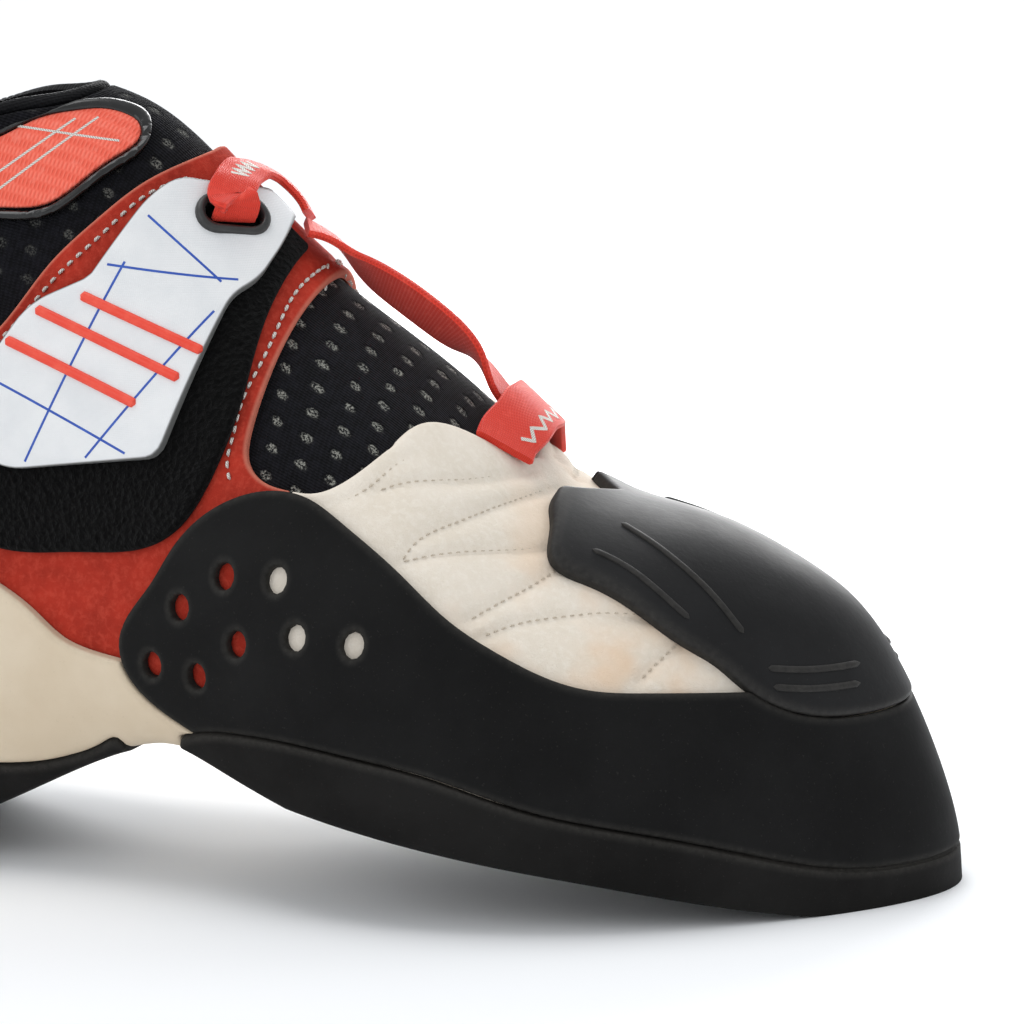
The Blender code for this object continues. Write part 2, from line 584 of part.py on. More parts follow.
def build():
    clear_scene()
    last = Last()
    form = Form(last)
    side = form.face_row >= 0
    rows = np.array(SIDE_ROWS)
    low_side = side & (rows[np.clip(form.face_row, 0, len(rows) - 2)] < 0.30)
    floor = form.face_row < 0
    margin = form.face_row >= -2
    outer_half = (form.face_station <= form.tip)
    skin = WALL + GAP

    # upper: sides and a turned-in margin, opened at the collar and the throat
    upper = shell("upper", form, margin, form.shift(0.0), form.shift(WALL))
    combine(upper, side_prism(above(smooth_line(side_points(QUARTER_LINE)))), "DIFFERENCE")
    throat = smooth_line(side_points(ARM_LINE)) + smooth_line(side_points(VAMP_LINE))[1:]
    front = (SOCK_FRONT - HEEL_SPOT) * LENGTH
    throat += [(front, VAMP_LINE[-1][1] * INSTEP_HEIGHT * 0.82), (front, OUT * INSTEP_HEIGHT)]
    throat += [(throat[0][0], OUT * INSTEP_HEIGHT)]
    cutter = side_prism(throat)
    middle = CREST[6][1] * BALL_WIDTH
    half = smooth_line(plan_points(THROAT_END))
    plan = [(throat[0][0] - 0.05, -BALL_WIDTH), (half[0][0], -BALL_WIDTH)] + half
    plan += [(x, 2 * middle - y) for x, y in reversed(half[:-1])]
    plan += [(half[0][0], BALL_WIDTH), (throat[0][0] - 0.05, BALL_WIDTH)]
    combine(cutter, prism("plan", plan, 0.0, OUT * INSTEP_HEIGHT, "z"), "INTERSECT")
    combine(upper, cutter, "DIFFERENCE")

    # tongue: the knitted sock that shows in the throat and makes the collar
    tongue = shell("tongue", form, side, form.shift(-GAP - SOCK), form.shift(-GAP))
    rim = smooth_line(side_points(RIM_LINE))
    low = smooth_line(side_points(SOCK_LOW_LINE))
    outline = low + [(front, low[-1][1]), (front, OUT * INSTEP_HEIGHT), (rim[-1][0], OUT * INSTEP_HEIGHT)]
    outline += moved(reversed(rim), 0.0, -BINDING_HEIGHT)
    combine(tongue, side_prism(outline), "INTERSECT")
    binding = shell("collar_binding", form, side, form.shift(-2 * GAP - SOCK), form.shift(0.0))
    band = rim + moved(reversed(rim), 0.0, GAP - BINDING_HEIGHT)
    combine(binding, side_prism(band), "INTERSECT")

    # insole: lies on the margin and fills the opening inside it
    depth = np.where(form.row_of >= -2, -GAP, WALL)
    inside = form.face_row <= -2
    insole = shell("insole", form, inside, form.shift(-GAP - INSOLE), form.shift(depth))

    # rubber that wraps the foot
    seam = smooth_line(side_points(SEAM_LINE))
    rubber = form.shift(skin + RUBBER)
    base = form.shift(skin)
    rand = shell("rand", form, side, base, rubber)
    patch_line = smooth_line(side_points(PATCH_LINE))
    join = [p for p in patch_line if p[0] > side_points(RAND_LINE)[-1][0]]
    top = smooth_line(side_points(RAND_LINE)) + moved(join, 0.0, -GAP)
    outline = top + moved(reversed([p for p in seam if p[0] > top[0][0] + 0.001]), 0.0, GAP)
    combine(rand, side_prism(outline), "INTERSECT")
    for along, up in HOLES:
        x, _, z = real(along, 0.0, up)
        turns = [2 * math.pi * (i + 0.5) / HOLE_SIDES for i in range(HOLE_SIDES)]
        ring = [(x + HOLE_RADIUS * 0.82 * math.cos(a), z + HOLE_RADIUS * math.sin(a)) for a in turns]
        combine(rand, side_prism(ring, -1.0, HOLES_FROM), "DIFFERENCE")

    toe_patch = shell("toe_patch", form, side, base, form.shift(skin + PATCH))
    combine(toe_patch, side_prism(above(patch_line)), "INTERSECT")
    combine(toe_patch, prism("notch", plan_points(NOTCH), 0.0, OUT * INSTEP_HEIGHT, "z"), "DIFFERENCE")

    # outsole: thick under the foot, with a lip up to the seam
    share = (form.points[:, 0] / LENGTH + HEEL_SPOT - SOLE_BACK) / 0.09
    thick = SOLE_END + (SOLE - SOLE_END) * np.clip(share, 0, 1)
    outer = form.shift(skin + SOLE_LIP)
    edge = form.row_of == 0
    below = form.row_of < 0
    outer[below] = form.points[below] + np.stack([0 * thick, 0 * thick, -skin - thick], 1)[below]
    near = form.row_of == -1
    outer[near] += form_out(form, near) * (skin + SOLE_LIP) * 0.55
    outer[edge] = form.points[edge] + form.out[edge] * (skin + SOLE_LIP)
    fore = np.clip((form.points[:, 0] / LENGTH + HEEL_SPOT - TOE_FROM) / (TOE_FULL - TOE_FROM), 0, 1)
    full = SOLE_EDGE + (1 - SOLE_EDGE) * fore
    outer[edge, 2] -= (skin + thick[edge]) * full[edge]
    outer[:, 2] = np.maximum(outer[:, 2], 0)
    outsole = shell("outsole", form, low_side | floor, base, outer)
    sole_back = (SOLE_BACK - HEEL_SPOT) * LENGTH
    sole_top = float(np.interp(sole_back, [p[0] for p in seam], [p[1] for p in seam]))
    outline = [(sole_back, sole_top)] + [p for p in seam if p[0] > sole_back]
    combine(outsole, side_prism(under(outline)), "INTERSECT")

    # heel: a light band round the sides and arch, and a dark sole under it
    band_outer = form.shift(skin + RUBBER)
    band_outer[:, 2] = np.maximum(band_outer[:, 2], 0.0012)
    heel_band = shell("heel_band", form, side | floor, base, band_outer)
    cream = smooth_line(side_points(CREAM_LINE))
    rear = smooth_line(side_points(RAND_LINE))
    rear = [p for p in rear if p[1] <= CREAM_LINE[-1][1] * INSTEP_HEIGHT and p[0] <= top[0][0]]
    heel_top = smooth_line(side_points(HEEL_LINE))
    outline = cream + moved(reversed(rear), -GAP)
    outline += moved([p for p in reversed(seam) if sole_back < p[0] < outline[-1][0] - GAP], 0.0, GAP)
    outline += [(sole_back - GAP, sole_top + GAP), (sole_back - GAP, -0.01), (heel_top[-1][0], -0.01)]
    outline += moved(reversed(heel_top), 0.0, GAP)
    combine(heel_band, side_prism(outline), "INTERSECT")

    heel_outer = form.shift(skin + HEEL_RUBBER)
    heel_outer[:, 2] = np.maximum(heel_outer[:, 2], 0)
    heel_sole = shell("heel_sole", form, low_side | floor, base, heel_outer)
    combine(heel_sole, side_prism(under(moved(heel_top, -GAP))), "INTERSECT")

    # closure: pad on the quarter, tab on the pad
    step = skin + PAD + GAP
    pad = shell("closure_pad", form, side & outer_half, base, form.shift(skin + PAD))
    combine(pad, side_prism(smooth_ring(side_points(PAD_OUTLINE)), -1.0, 0.0), "INTERSECT")
    tab = shell("closure_tab", form, side & outer_half, form.shift(step), form.shift(step + TAB))
    combine(tab, side_prism(rounded(side_points(TAB_OUTLINE), TAB_CORNER), -1.0, 0.0), "INTERSECT")

    # badge on the sock's outer side with a raised edge below
    badge = shell("tongue_badge", form, side & outer_half, form.shift(0.0), form.shift(BADGE))
    ring = smooth_ring(side_points(BADGE_OUTLINE))
    combine(badge, side_prism(ring, -1.0, 0.0), "INTERSECT")

    piping = shell("badge_piping", form, side & outer_half, form.shift(0.0), form.shift(PIPING))
    reach = PIPING_REACH * INSTEP_HEIGHT
    combine(piping, side_prism(inset(ring, -reach), -1.0, 0.0), "INTERSECT")
    combine(piping, side_prism(inset(ring, -GAP), -1.1, 0.1), "DIFFERENCE")
    ends = side_points(PIPING_ENDS)
    combine(piping, side_prism(above(ends)), "DIFFERENCE")

    # eyelet: a rimmed ring through the tab
    spot, _, _, out = place_on(last, EYELET_AT, step + TAB / 2)
    along = np.array(EYELET_RUN)
    along = unit(along - out * (along @ out))
    across = np.cross(out, along)
    hole = stadium(EYELET_LENGTH / 2 - EYELET_RIM, EYELET_WIDTH / 2 - EYELET_RIM)
    edge_ring = stadium(EYELET_LENGTH / 2, EYELET_WIDTH / 2)
    frame = (spot, along, across, out)
    combine(tab, pushed("cutter", inset(edge_ring, -GAP), frame, -0.006, 0.006), "DIFFERENCE")
    eyelet = pushed("tab_eyelet", edge_ring, frame, -TAB * 0.4, TAB / 2 + EYELET_RISE)
    combine(eyelet, pushed("cutter", hole, frame, -0.006, 0.006), "DIFFERENCE")

    tapes(last, frame)

    for obj in bpy.data.objects:
        finish(obj)


def place_on(last, target, lift):
    """Point of the outer side seen at (along, height), with its along, across and outward directions."""
    x, _, z = real(target[0], 0.0, target[1])
    k = np.linspace(0, last.knots[TIP_ROW], 400)[1:-1]
    s = np.linspace(0.2, 0.995, 160)
    points = last.at(k[:, None], s[None, :])
    miss = (points[..., 0] - x) ** 2 + (points[..., 2] - z) ** 2
    i, j = np.unravel_index(np.argmin(miss), miss.shape)
    step = 1e-3
    here = points[i, j]
    around = unit(last.at(k[i] + step, s[j]) - last.at(k[i] - step, s[j]))
    rise = last.at(k[i], s[j] + step) - last.at(k[i], s[j] - step)
    out = unit(np.cross(around, rise))
    across = unit(np.cross(out, around))
    return here + out * lift, around, across, out


def stadium(half_length, half_width, pieces=5):
    """Outline of a slot with round ends."""
    turns = [math.pi * (i / pieces - 0.5) for i in range(pieces + 1)]
    run = half_length - half_width
    right = [(run + half_width * math.cos(a), half_width * math.sin(a)) for a in turns]
    return right + [(-x, -y) for x, y in right]


def pushed(name, outline, frame, low, high):
    """Solid of an outline in a frame's along and across directions, pushed outward."""
    spot, along, across, out = frame
    n = len(outline)
    points = [spot + along * a + across * b + out * h for h in (low, high) for a, b in outline]
    faces = [tuple(range(n)), tuple(range(2 * n - 1, n - 1, -1))]
    faces += [(i, (i + 1) % n, (i + 1) % n + n, i + n) for i in range(n)]
    obj = new_object(name, points, faces)
    tidy(obj, 1e-6)
    return obj


def tapes(last, frame):
    """The strap over the instep, its loop through the eyelet and its loop on the vamp."""
    ribbon("instep_strap", ribbon_rows(STRAP), TAPE_WIDTH, 15)
    spot, along, across, out = frame
    yaw = math.atan2(along[1], along[0])
    start = [(*(spot + across * a + out * h), yaw, math.asin(along[2])) for a, h in LOOP_START]
    ribbon("tab_loop", start + ribbon_rows(TAB_LOOP), SLOT_TAPE_WIDTH, 18)

    rows = []
    for along, side, over in VAMP_LOOP:
        spot, out = on_top(last, *real(along, side)[:2])
        rows.append((*(spot + out * over), 0.0, VAMP_LOOP_DIP))
    ribbon("vamp_loop", rows, LOOP_WIDTH, 11)


def ribbon_rows(table):
    """Places in metres and angles in radians from a table of shares and degrees."""
    return [(*real(*row[:3]), math.radians(row[3]), math.radians(row[4])) for row in table]


def ribbon(name, rows, width, count):
    """Flat tape along a line of places, each with the yaw and rise of the way across it."""
    rows = np.array(rows)
    knots = np.concatenate([[0], np.cumsum(np.linalg.norm(np.diff(rows[:, :3], axis=0), axis=1))])
    line = spline(knots, rows, np.linspace(0, knots[-1], count))
    run = np.gradient(line[:, :3], axis=0)
    widths, ups = [], []
    for t, (yaw, rise) in zip(run, line[:, 3:]):
        t = unit(t)
        lean = np.array((math.cos(yaw) * math.cos(rise), math.sin(yaw) * math.cos(rise), math.sin(rise)))
        widths.append(unit(lean - t * (lean @ t)))
        ups.append(np.cross(widths[-1], t))
    sweep(name, line[:, :3], widths, ups, width / 2, TAPE)


def on_top(last, x, y):
    """Point of the last's upper surface above a place in plan, with its outward direction."""
    k = np.linspace(0, last.knots[-1], 900)[1:-1]
    s = np.linspace(0.55, 0.999, 120)
    points = last.at(k[:, None], s[None, :])
    miss = (points[..., 0] - x) ** 2 + (points[..., 1] - y) ** 2
    i, j = np.unravel_index(np.argmin(miss), miss.shape)
    step = 1e-3
    around = unit(last.at(k[i] + step, s[j]) - last.at(k[i] - step, s[j]))
    rise = last.at(k[i], s[j] + step / 2) - last.at(k[i], s[j] - step / 2)
    return points[i, j], unit(np.cross(around, rise))


def form_out(form, chosen):
    """Outward level direction for underside points, from the middle line to each point."""
    points = form.points[chosen]
    rows = np.array([form.points[form.row_of == 0][np.argmin(np.linalg.norm(
        form.points[form.row_of == 0] - p, axis=1))] for p in points])
    run = rows - points
    run[:, 2] = 0
    return run / np.linalg.norm(run, axis=1)[:, None]


def lighten(obj):
    """Flat faces merged again after the cuts."""
    work = bmesh.new()
    work.from_mesh(obj.data)
    bmesh.ops.dissolve_limit(work, angle_limit=math.radians(FLAT_ENOUGH), verts=work.verts, edges=work.edges)
    bmesh.ops.triangulate(work, faces=work.faces)
    work.to_mesh(obj.data)
    work.free()


def finish(obj):
    lighten(obj)
    tone = COLOURS.get(obj.name, (0.5, 0.5, 0.5))
    material = bpy.data.materials.new(obj.name)
    material.use_nodes = True
    shader = material.node_tree.nodes["Principled BSDF"]
    shader.inputs["Base Color"].default_value = (*tone, 1)
    shader.inputs["Roughness"].default_value = 0.6
    material.diffuse_color = (*tone, 1)
    obj.data.materials.clear()
    obj.data.materials.append(material)
    obj.data.shade_smooth()
    obj.data.set_sharp_from_angle(angle=math.radians(32))


build()
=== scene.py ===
"""Looks of a strapped, downturned climbing shoe for the right foot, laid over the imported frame.

Units are metres. +X points to the toe, +Y to the inner side, +Z up. Every layer is a stretch of the
last's surface, moved outward, so the pieces follow one form and meet as the real layers do.
"""
import math

import bpy
import numpy as np
from mathutils import Matrix, Vector
from mathutils.bvhtree import BVHTree


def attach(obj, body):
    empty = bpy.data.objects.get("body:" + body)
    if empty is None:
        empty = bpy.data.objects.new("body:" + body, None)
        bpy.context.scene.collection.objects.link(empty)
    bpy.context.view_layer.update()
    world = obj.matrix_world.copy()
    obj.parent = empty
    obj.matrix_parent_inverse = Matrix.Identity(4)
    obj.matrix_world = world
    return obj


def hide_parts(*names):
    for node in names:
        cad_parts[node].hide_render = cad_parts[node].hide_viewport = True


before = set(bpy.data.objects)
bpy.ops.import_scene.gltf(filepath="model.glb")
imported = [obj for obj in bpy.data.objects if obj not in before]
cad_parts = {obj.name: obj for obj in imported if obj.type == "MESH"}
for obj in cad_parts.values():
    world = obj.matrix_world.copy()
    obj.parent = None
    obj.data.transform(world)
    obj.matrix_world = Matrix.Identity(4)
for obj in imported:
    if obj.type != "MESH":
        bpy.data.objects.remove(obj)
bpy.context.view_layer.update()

# Main sizes
LENGTH = 0.240
BALL_WIDTH = 0.092
ARCH_LIFT = 0.030
INSTEP_HEIGHT = 0.130
HEEL_SPOT = 0.167          # share of LENGTH from the heel's back to the origin

# Thicknesses and offsets from the last
GAP = 0.0003
WALL = 0.0017
SOCK = 0.0015
RUBBER = 0.0018
PATCH = 0.0022
SOLE = 0.0046
SOLE_END = 0.0012
SOLE_LIP = 0.0022
SOLE_EDGE = 0.72           # share of the sole's thickness at its lower edge, full at the toe
TOE_FROM = 0.80            # share of LENGTH where the edge starts to grow full
TOE_FULL = 0.92
HEEL_RUBBER = 0.0024
INSOLE = 0.0020
PAD = 0.0014
TAB = 0.0017
TAB_CORNER = 0.0040
BADGE = 0.0009
PIPING = 0.0016
TAPE = 0.0014
TAPE_WIDTH = 0.0095
SLOT_TAPE_WIDTH = 0.0076
LOOP_WIDTH = 0.0108
BINDING_HEIGHT = 0.0024
HOLE_RADIUS = 0.0022
EYELET_LENGTH = 0.0130
EYELET_WIDTH = 0.0076
EYELET_RIM = 0.0016
EYELET_RISE = 0.0007
SKIN = WALL + GAP          # the upper's outside, where the rubber starts
OVER_PAD = SKIN + PAD + GAP
CORNER = 0.0012            # the least lift of the heel band's underside

# Fineness of the surface
PIECES = 20
SIDE_COUNT = 90
FLOOR_ROWS = (0.008, 0.018, 0.032, 0.050, 0.072, 0.10, 0.14, 0.19, 0.24, 0.31, 0.40, 0.50, 0.60, 0.72, 0.86)
EDGE_SHARE = 0.05
MARGIN_SHARE = 0.14
FILL_SHARE = 0.24
SOLE_RISE = 0.34           # how far up the sections the two soles can reach

# One row per section round the shoe, from the heel's back along the outer side to the toe and back.
# along, side, lift: the upper's lower edge, as shares of LENGTH, BALL_WIDTH and ARCH_LIFT.
# crest: where the section ends on the crest line, 0 at its back and 1 above the toes.
# belly, belly_up, shoulder, shoulder_up, crown: control points as shares of width and height.
SECTIONS = (
    (0.030, 0.000, 0.26, 0.00, 1.66, 0.12, 0.86, 0.62, 0.64),
    (0.055, -0.130, 0.18, 0.02, 1.66, 0.12, 0.90, 0.62, 0.70),
    (0.120, -0.225, 0.13, 0.07, 1.56, 0.12, 0.97, 0.66, 0.78),
    (0.240, -0.265, 0.17, 0.20, 1.50, 0.14, 0.98, 0.70, 0.75),
    (0.340, -0.270, 0.42, 0.33, 1.48, 0.16, 0.90, 0.74, 0.60),
    (0.430, -0.300, 0.78, 0.43, 1.36, 0.18, 0.88, 0.75, 0.50),
    (0.500, -0.350, 0.95, 0.52, 1.22, 0.22, 0.90, 0.75, 0.48),
    (0.570, -0.415, 0.88, 0.61, 1.12, 0.24, 0.92, 0.76, 0.47),
    (0.650, -0.455, 0.74, 0.70, 1.07, 0.26, 0.94, 0.78, 0.45),
    (0.730, -0.430, 0.60, 0.80, 1.05, 0.28, 0.94, 0.78, 0.45),
    (0.810, -0.350, 0.46, 0.89, 1.05, 0.28, 0.85, 0.78, 0.45),
    (0.880, -0.225, 0.31, 0.97, 1.04, 0.28, 0.765, 0.78, 0.45),
    (0.940, -0.070, 0.21, 1.00, 1.01, 0.28, 0.655, 0.80, 0.45),
    (0.974, 0.060, 0.20, 1.00, 0.97, 0.28, 0.565, 0.80, 0.45),
    (0.985, 0.180, 0.205, 1.00, 0.94, 0.28, 0.52, 0.80, 0.45),
    (0.965, 0.290, 0.205, 1.00, 0.97, 0.28, 0.605, 0.80, 0.455),
    (0.905, 0.375, 0.235, 0.97, 1.02, 0.28, 0.79, 0.80, 0.445),
    (0.820, 0.412, 0.40, 0.89, 1.04, 0.28, 0.90, 0.80, 0.45),
    (0.735, 0.407, 0.55, 0.80, 1.06, 0.28, 0.96, 0.80, 0.45),
    (0.650, 0.372, 0.70, 0.70, 1.09, 0.26, 0.94, 0.78, 0.46),
    (0.570, 0.310, 0.84, 0.61, 1.14, 0.25, 0.93, 0.77, 0.47),
    (0.500, 0.255, 0.91, 0.52, 1.22, 0.23, 0.92, 0.76, 0.48),
    (0.430, 0.225, 0.85, 0.43, 1.34, 0.20, 0.90, 0.75, 0.50),
    (0.340, 0.215, 0.47, 0.33, 1.50, 0.16, 0.90, 0.74, 0.60),
    (0.240, 0.240, 0.17, 0.20, 1.52, 0.14, 0.96, 0.70, 0.75),
    (0.120, 0.215, 0.13, 0.07, 1.56, 0.12, 0.97, 0.66, 0.78),
    (0.055, 0.130, 0.18, 0.02, 1.66, 0.12, 0.90, 0.62, 0.70),
)
TIP_ROW = 14               # the section at the tip of the toe
FAN_ROW = 12               # the first section that ends at the crest line's front end

# The crest line: along, side, height as shares of LENGTH, BALL_WIDTH and INSTEP_HEIGHT
CREST = (
    (0.120, 0.000, 1.150),
    (0.220, 0.000, 1.145),
    (0.330, 0.010, 1.021),
    (0.430, 0.030, 0.964),
    (0.500, 0.040, 0.855),
    (0.560, 0.050, 0.752),
    (0.660, 0.070, 0.607),
    (0.740, 0.085, 0.473),
    (0.820, 0.100, 0.432),
    (0.870, 0.110, 0.392),
)

# Lines seen from the side, each point (along, height) as shares of LENGTH and INSTEP_HEIGHT
OUT = 1.30                 # height share above everything
BACK = -0.10
FRONT = 1.10
RIM_LINE = ((BACK, 0.80), (0.05, 0.81), (0.15, 0.855), (0.25, 0.915), (0.31, 0.951), (0.351, 0.975),
            (0.385, 0.987), (0.400, 1.00))
QUARTER_LINE = ((BACK, 0.74), (0.06, 0.70), (0.16, 0.63), (0.25, 0.61), (0.32, 0.64), (0.361, 0.70),
                (0.392, 0.78), (0.422, 0.837), (0.451, 0.883), (0.480, 0.910))
ARM_LINE = ((0.575, 0.80), (0.566, 0.735), (0.560, 0.685), (0.556, 0.641), (0.553, 0.596), (0.555, 0.561),
            (0.568, 0.539), (0.589, 0.530))
VAMP_LINE = ((0.589, 0.530), (0.607, 0.529), (0.624, 0.542), (0.639, 0.565), (0.647, 0.580))
THROAT_END = ((0.647, -0.23), (0.659, -0.14), (0.681, -0.065), (0.702, 0.01), (0.710, 0.075))
JOIN_LINE = ((0.589, 0.60), (0.586, 0.50), (0.574, 0.430), (0.580, 0.390), (0.588, 0.345), (0.600, 0.25),
             (0.600, -0.10))
SOCK_LOW_LINE = ((BACK, 0.64), (0.06, 0.60), (0.16, 0.53), (0.25, 0.51), (0.36, 0.54), (0.46, 0.50),
                 (0.53, 0.44), (0.60, 0.43), (0.66, 0.46), (0.72, 0.47))
SOCK_FRONT = 0.755
RAND_LINE = ((0.528, 0.217), (0.494, 0.248), (0.473, 0.290), (0.469, 0.325), (0.476, 0.360), (0.493, 0.403),
             (0.509, 0.452), (0.528, 0.492), (0.552, 0.520), (0.579, 0.533), (0.602, 0.529), (0.630, 0.503),
             (0.675, 0.446), (0.712, 0.389), (0.747, 0.348), (0.779, 0.318), (0.805, 0.303), (0.838, 0.296),
             (0.893, 0.286))
SEAM_LINE = ((0.500, 0.198), (0.516, 0.207), (0.531, 0.217), (0.562, 0.226), (0.599, 0.227), (0.655, 0.216),
             (0.704, 0.199), (0.769, 0.158), (0.818, 0.134), (0.870, 0.108), (0.914, 0.078), (0.957, 0.052),
             (1.000, 0.045), (FRONT, 0.045))
PATCH_LINE = ((0.732, 0.560), (0.735, 0.530), (0.738, 0.507), (0.748, 0.481), (0.754, 0.459),
              (0.759, 0.447), (0.770, 0.434), (0.795, 0.415), (0.828, 0.380), (0.850, 0.352),
              (0.873, 0.323), (0.893, 0.289), (0.910, 0.266),
              (0.934, 0.247), (0.969, 0.240), (FRONT, 0.240))
NOTCH = ((0.700, -0.045), (0.738, -0.003), (0.762, 0.109), (0.719, 0.235), (0.700, 0.270))
CREAM_LINE = ((BACK, 0.60), (0.06, 0.585), (0.16, 0.540), (0.26, 0.475), (0.345, 0.403), (0.400, 0.350),
              (0.424, 0.318), (0.440, 0.308), (0.467, 0.300))
HEEL_LINE = ((BACK, 0.185), (0.06, 0.165), (0.18, 0.142), (0.30, 0.135), (0.369, 0.139), (0.405, 0.147),
             (0.428, 0.160), (0.449, 0.179), (0.461, 0.189), (0.468, 0.170))
SOLE_BACK = 0.516
PAD_OUTLINE = ((0.548, 0.850), (0.549, 0.740), (0.545, 0.632), (0.531, 0.537), (0.510, 0.475), (0.490, 0.450),
               (0.430, 0.430), (0.385, 0.423), (0.345, 0.440), (0.318, 0.485), (0.318, 0.560), (0.340, 0.620),
               (0.385, 0.700), (0.430, 0.760), (0.470, 0.850))
TAB_OUTLINE = ((0.475, 0.892), (0.523, 0.870), (0.543, 0.836), (0.546, 0.808), (0.541, 0.772), (0.527, 0.755),
               (0.496, 0.572), (0.489, 0.560), (0.381, 0.528), (0.355, 0.545), (0.352, 0.640), (0.386, 0.735),
               (0.428, 0.771), (0.433, 0.787), (0.459, 0.867))
BADGE_OUTLINE = ((0.300, 0.898), (0.330, 0.917), (0.350, 0.934), (0.368, 0.951), (0.390, 0.960),
                 (0.408, 0.963), (0.424, 0.957), (0.435, 0.944), (0.437, 0.929), (0.428, 0.912),
                 (0.412, 0.890), (0.398, 0.867), (0.384, 0.850), (0.350, 0.842), (0.310, 0.846),
                 (0.292, 0.868))
PIPING_REACH = 0.014       # height share the piping adds below and in front of the badge
PIPING_ENDS = ((0.290, 0.880), (0.350, 0.945), (0.405, 0.985))
HOLES = ((0.552, 0.426), (0.592, 0.429), (0.518, 0.380), (0.496, 0.301), (0.533, 0.296), (0.565, 0.345),
         (0.610, 0.362), (0.652, 0.359))
EYELET_AT = (0.500, 0.816)
EYELET_RUN = (0.78, 0.61, -0.13)   # way along the slot

# The strap over the instep and its loop through the eyelet: along, side, height as shares of LENGTH,
# BALL_WIDTH and INSTEP_HEIGHT, then the yaw and rise in degrees of the way across the tape
STRAP = (
    (0.546, 0.022, 0.814, 90, -6),
    (0.562, 0.042, 0.798, 90, -19),
    (0.580, 0.056, 0.768, 90, -40),
    (0.611, 0.062, 0.729, 90, -54),
    (0.640, 0.073, 0.690, 90, -52),
    (0.660, 0.095, 0.652, 90, -38),
    (0.676, 0.128, 0.600, 90, -14),
    (0.694, 0.144, 0.567, 90, -11),
)
TAB_LOOP = (
    (0.513, -0.124, 0.865, 27, -10),
    (0.511, -0.099, 0.878, 28, -13),
    (0.509, -0.057, 0.886, 31, -16),
    (0.509, -0.009, 0.889, 26, -18),
    (0.511, 0.029, 0.883, -8, -18),
    (0.517, 0.064, 0.871, -42, -10),
    (0.526, 0.078, 0.855, -56, -5),
    (0.535, 0.079, 0.836, -64, 0),
    (0.540, 0.074, 0.823, -68, 2),
)
# Where the loop leaves the eyelet: metres across it and out of it
LOOP_START = ((-0.0008, 0.0006), (-0.0004, 0.0020), (0.0010, 0.0034))
# The loop on the vamp: shares of LENGTH and BALL_WIDTH, and the height over the last in metres
VAMP_LOOP_DIP = -0.70      # radians the way across the loop points down toward the toe
VAMP_LOOP = (
    (0.691, -0.035, 0.0028),
    (0.689, 0.000, 0.0036),
    (0.687, 0.040, 0.0049),
    (0.685, 0.083, 0.0056),
    (0.683, 0.130, 0.0056),
    (0.681, 0.180, 0.0051),
    (0.679, 0.232, 0.0036),
    (0.678, 0.265, 0.0029),
)


def spline(knots, values, at, closed=False):
    """Smooth curve through values at knots, read at the given places."""
    knots = np.asarray(knots, float)
    v = np.asarray(values, float)
    h = np.diff(knots)
    n = len(v)
    at = np.asarray(at, float)
    m = np.zeros((n, n))
    r = np.zeros((n, v.shape[1]))
    if closed:
        v = np.vstack([v, v[:1]])
        at = np.mod(at, knots[-1])
    for i in range(0 if closed else 1, n if closed else n - 1):
        m[i, i - 1] += h[i - 1]
        m[i, i] += 2 * (h[i - 1] + h[i])
        m[i, (i + 1) % n] += h[i]
        before = (v[i] - v[i - 1 if i else n - 1]) / h[i - 1]
        r[i] = 6 * ((v[i + 1] - v[i]) / h[i] - before)
    if not closed:
        m[0, 0] = m[-1, -1] = 1
    bend = np.linalg.solve(m, r)
    if closed:
        bend = np.vstack([bend, bend[:1]])
    j = np.clip(np.searchsorted(knots, at, side="right") - 1, 0, len(h) - 1)
    a = ((knots[j + 1] - at) / h[j])[..., None]
    b = 1 - a
    size = (h[j] ** 2)[..., None] / 6
    return a * v[j] + b * v[j + 1] + ((a ** 3 - a) * bend[j] + (b ** 3 - b) * bend[j + 1]) * size


def steady(knots, values, at):
    """Smooth curve through values that never turns back between two of them."""
    h = np.diff(knots)
    d = np.diff(values) / h
    m = np.zeros(len(knots))
    for i in range(1, len(knots) - 1):
        if d[i - 1] * d[i] > 0:
            a, b = 2 * h[i] + h[i - 1], h[i] + 2 * h[i - 1]
            m[i] = (a + b) / (a / d[i - 1] + b / d[i])
    m[0], m[-1] = d[0], d[-1]
    j = np.clip(np.searchsorted(knots, at, side="right") - 1, 0, len(h) - 1)
    u = (at - knots[j]) / h[j]
    rise = u * (1 - u) ** 2 * h[j] * m[j] + u * u * (u - 1) * h[j] * m[j + 1]
    return (1 + 2 * u) * (1 - u) ** 2 * values[j] + u * u * (3 - 2 * u) * values[j + 1] + rise


def real(along, side=0.0, up=0.0):
    """Shares of the main sizes to metres."""
    return (at_x(along), side * BALL_WIDTH, up * INSTEP_HEIGHT)


def at_x(along):
    """Place along the foot, in metres, of a share of LENGTH."""
    return (along - HEEL_SPOT) * LENGTH


def unit(v):
    return v / np.maximum(np.linalg.norm(v, axis=-1, keepdims=True), 1e-12)


def run_of(points):
    """Length along a line at each of its points."""
    points = np.asarray(points, float)
    return np.concatenate([[0], np.cumsum(np.linalg.norm(np.diff(points, axis=0), axis=1))])


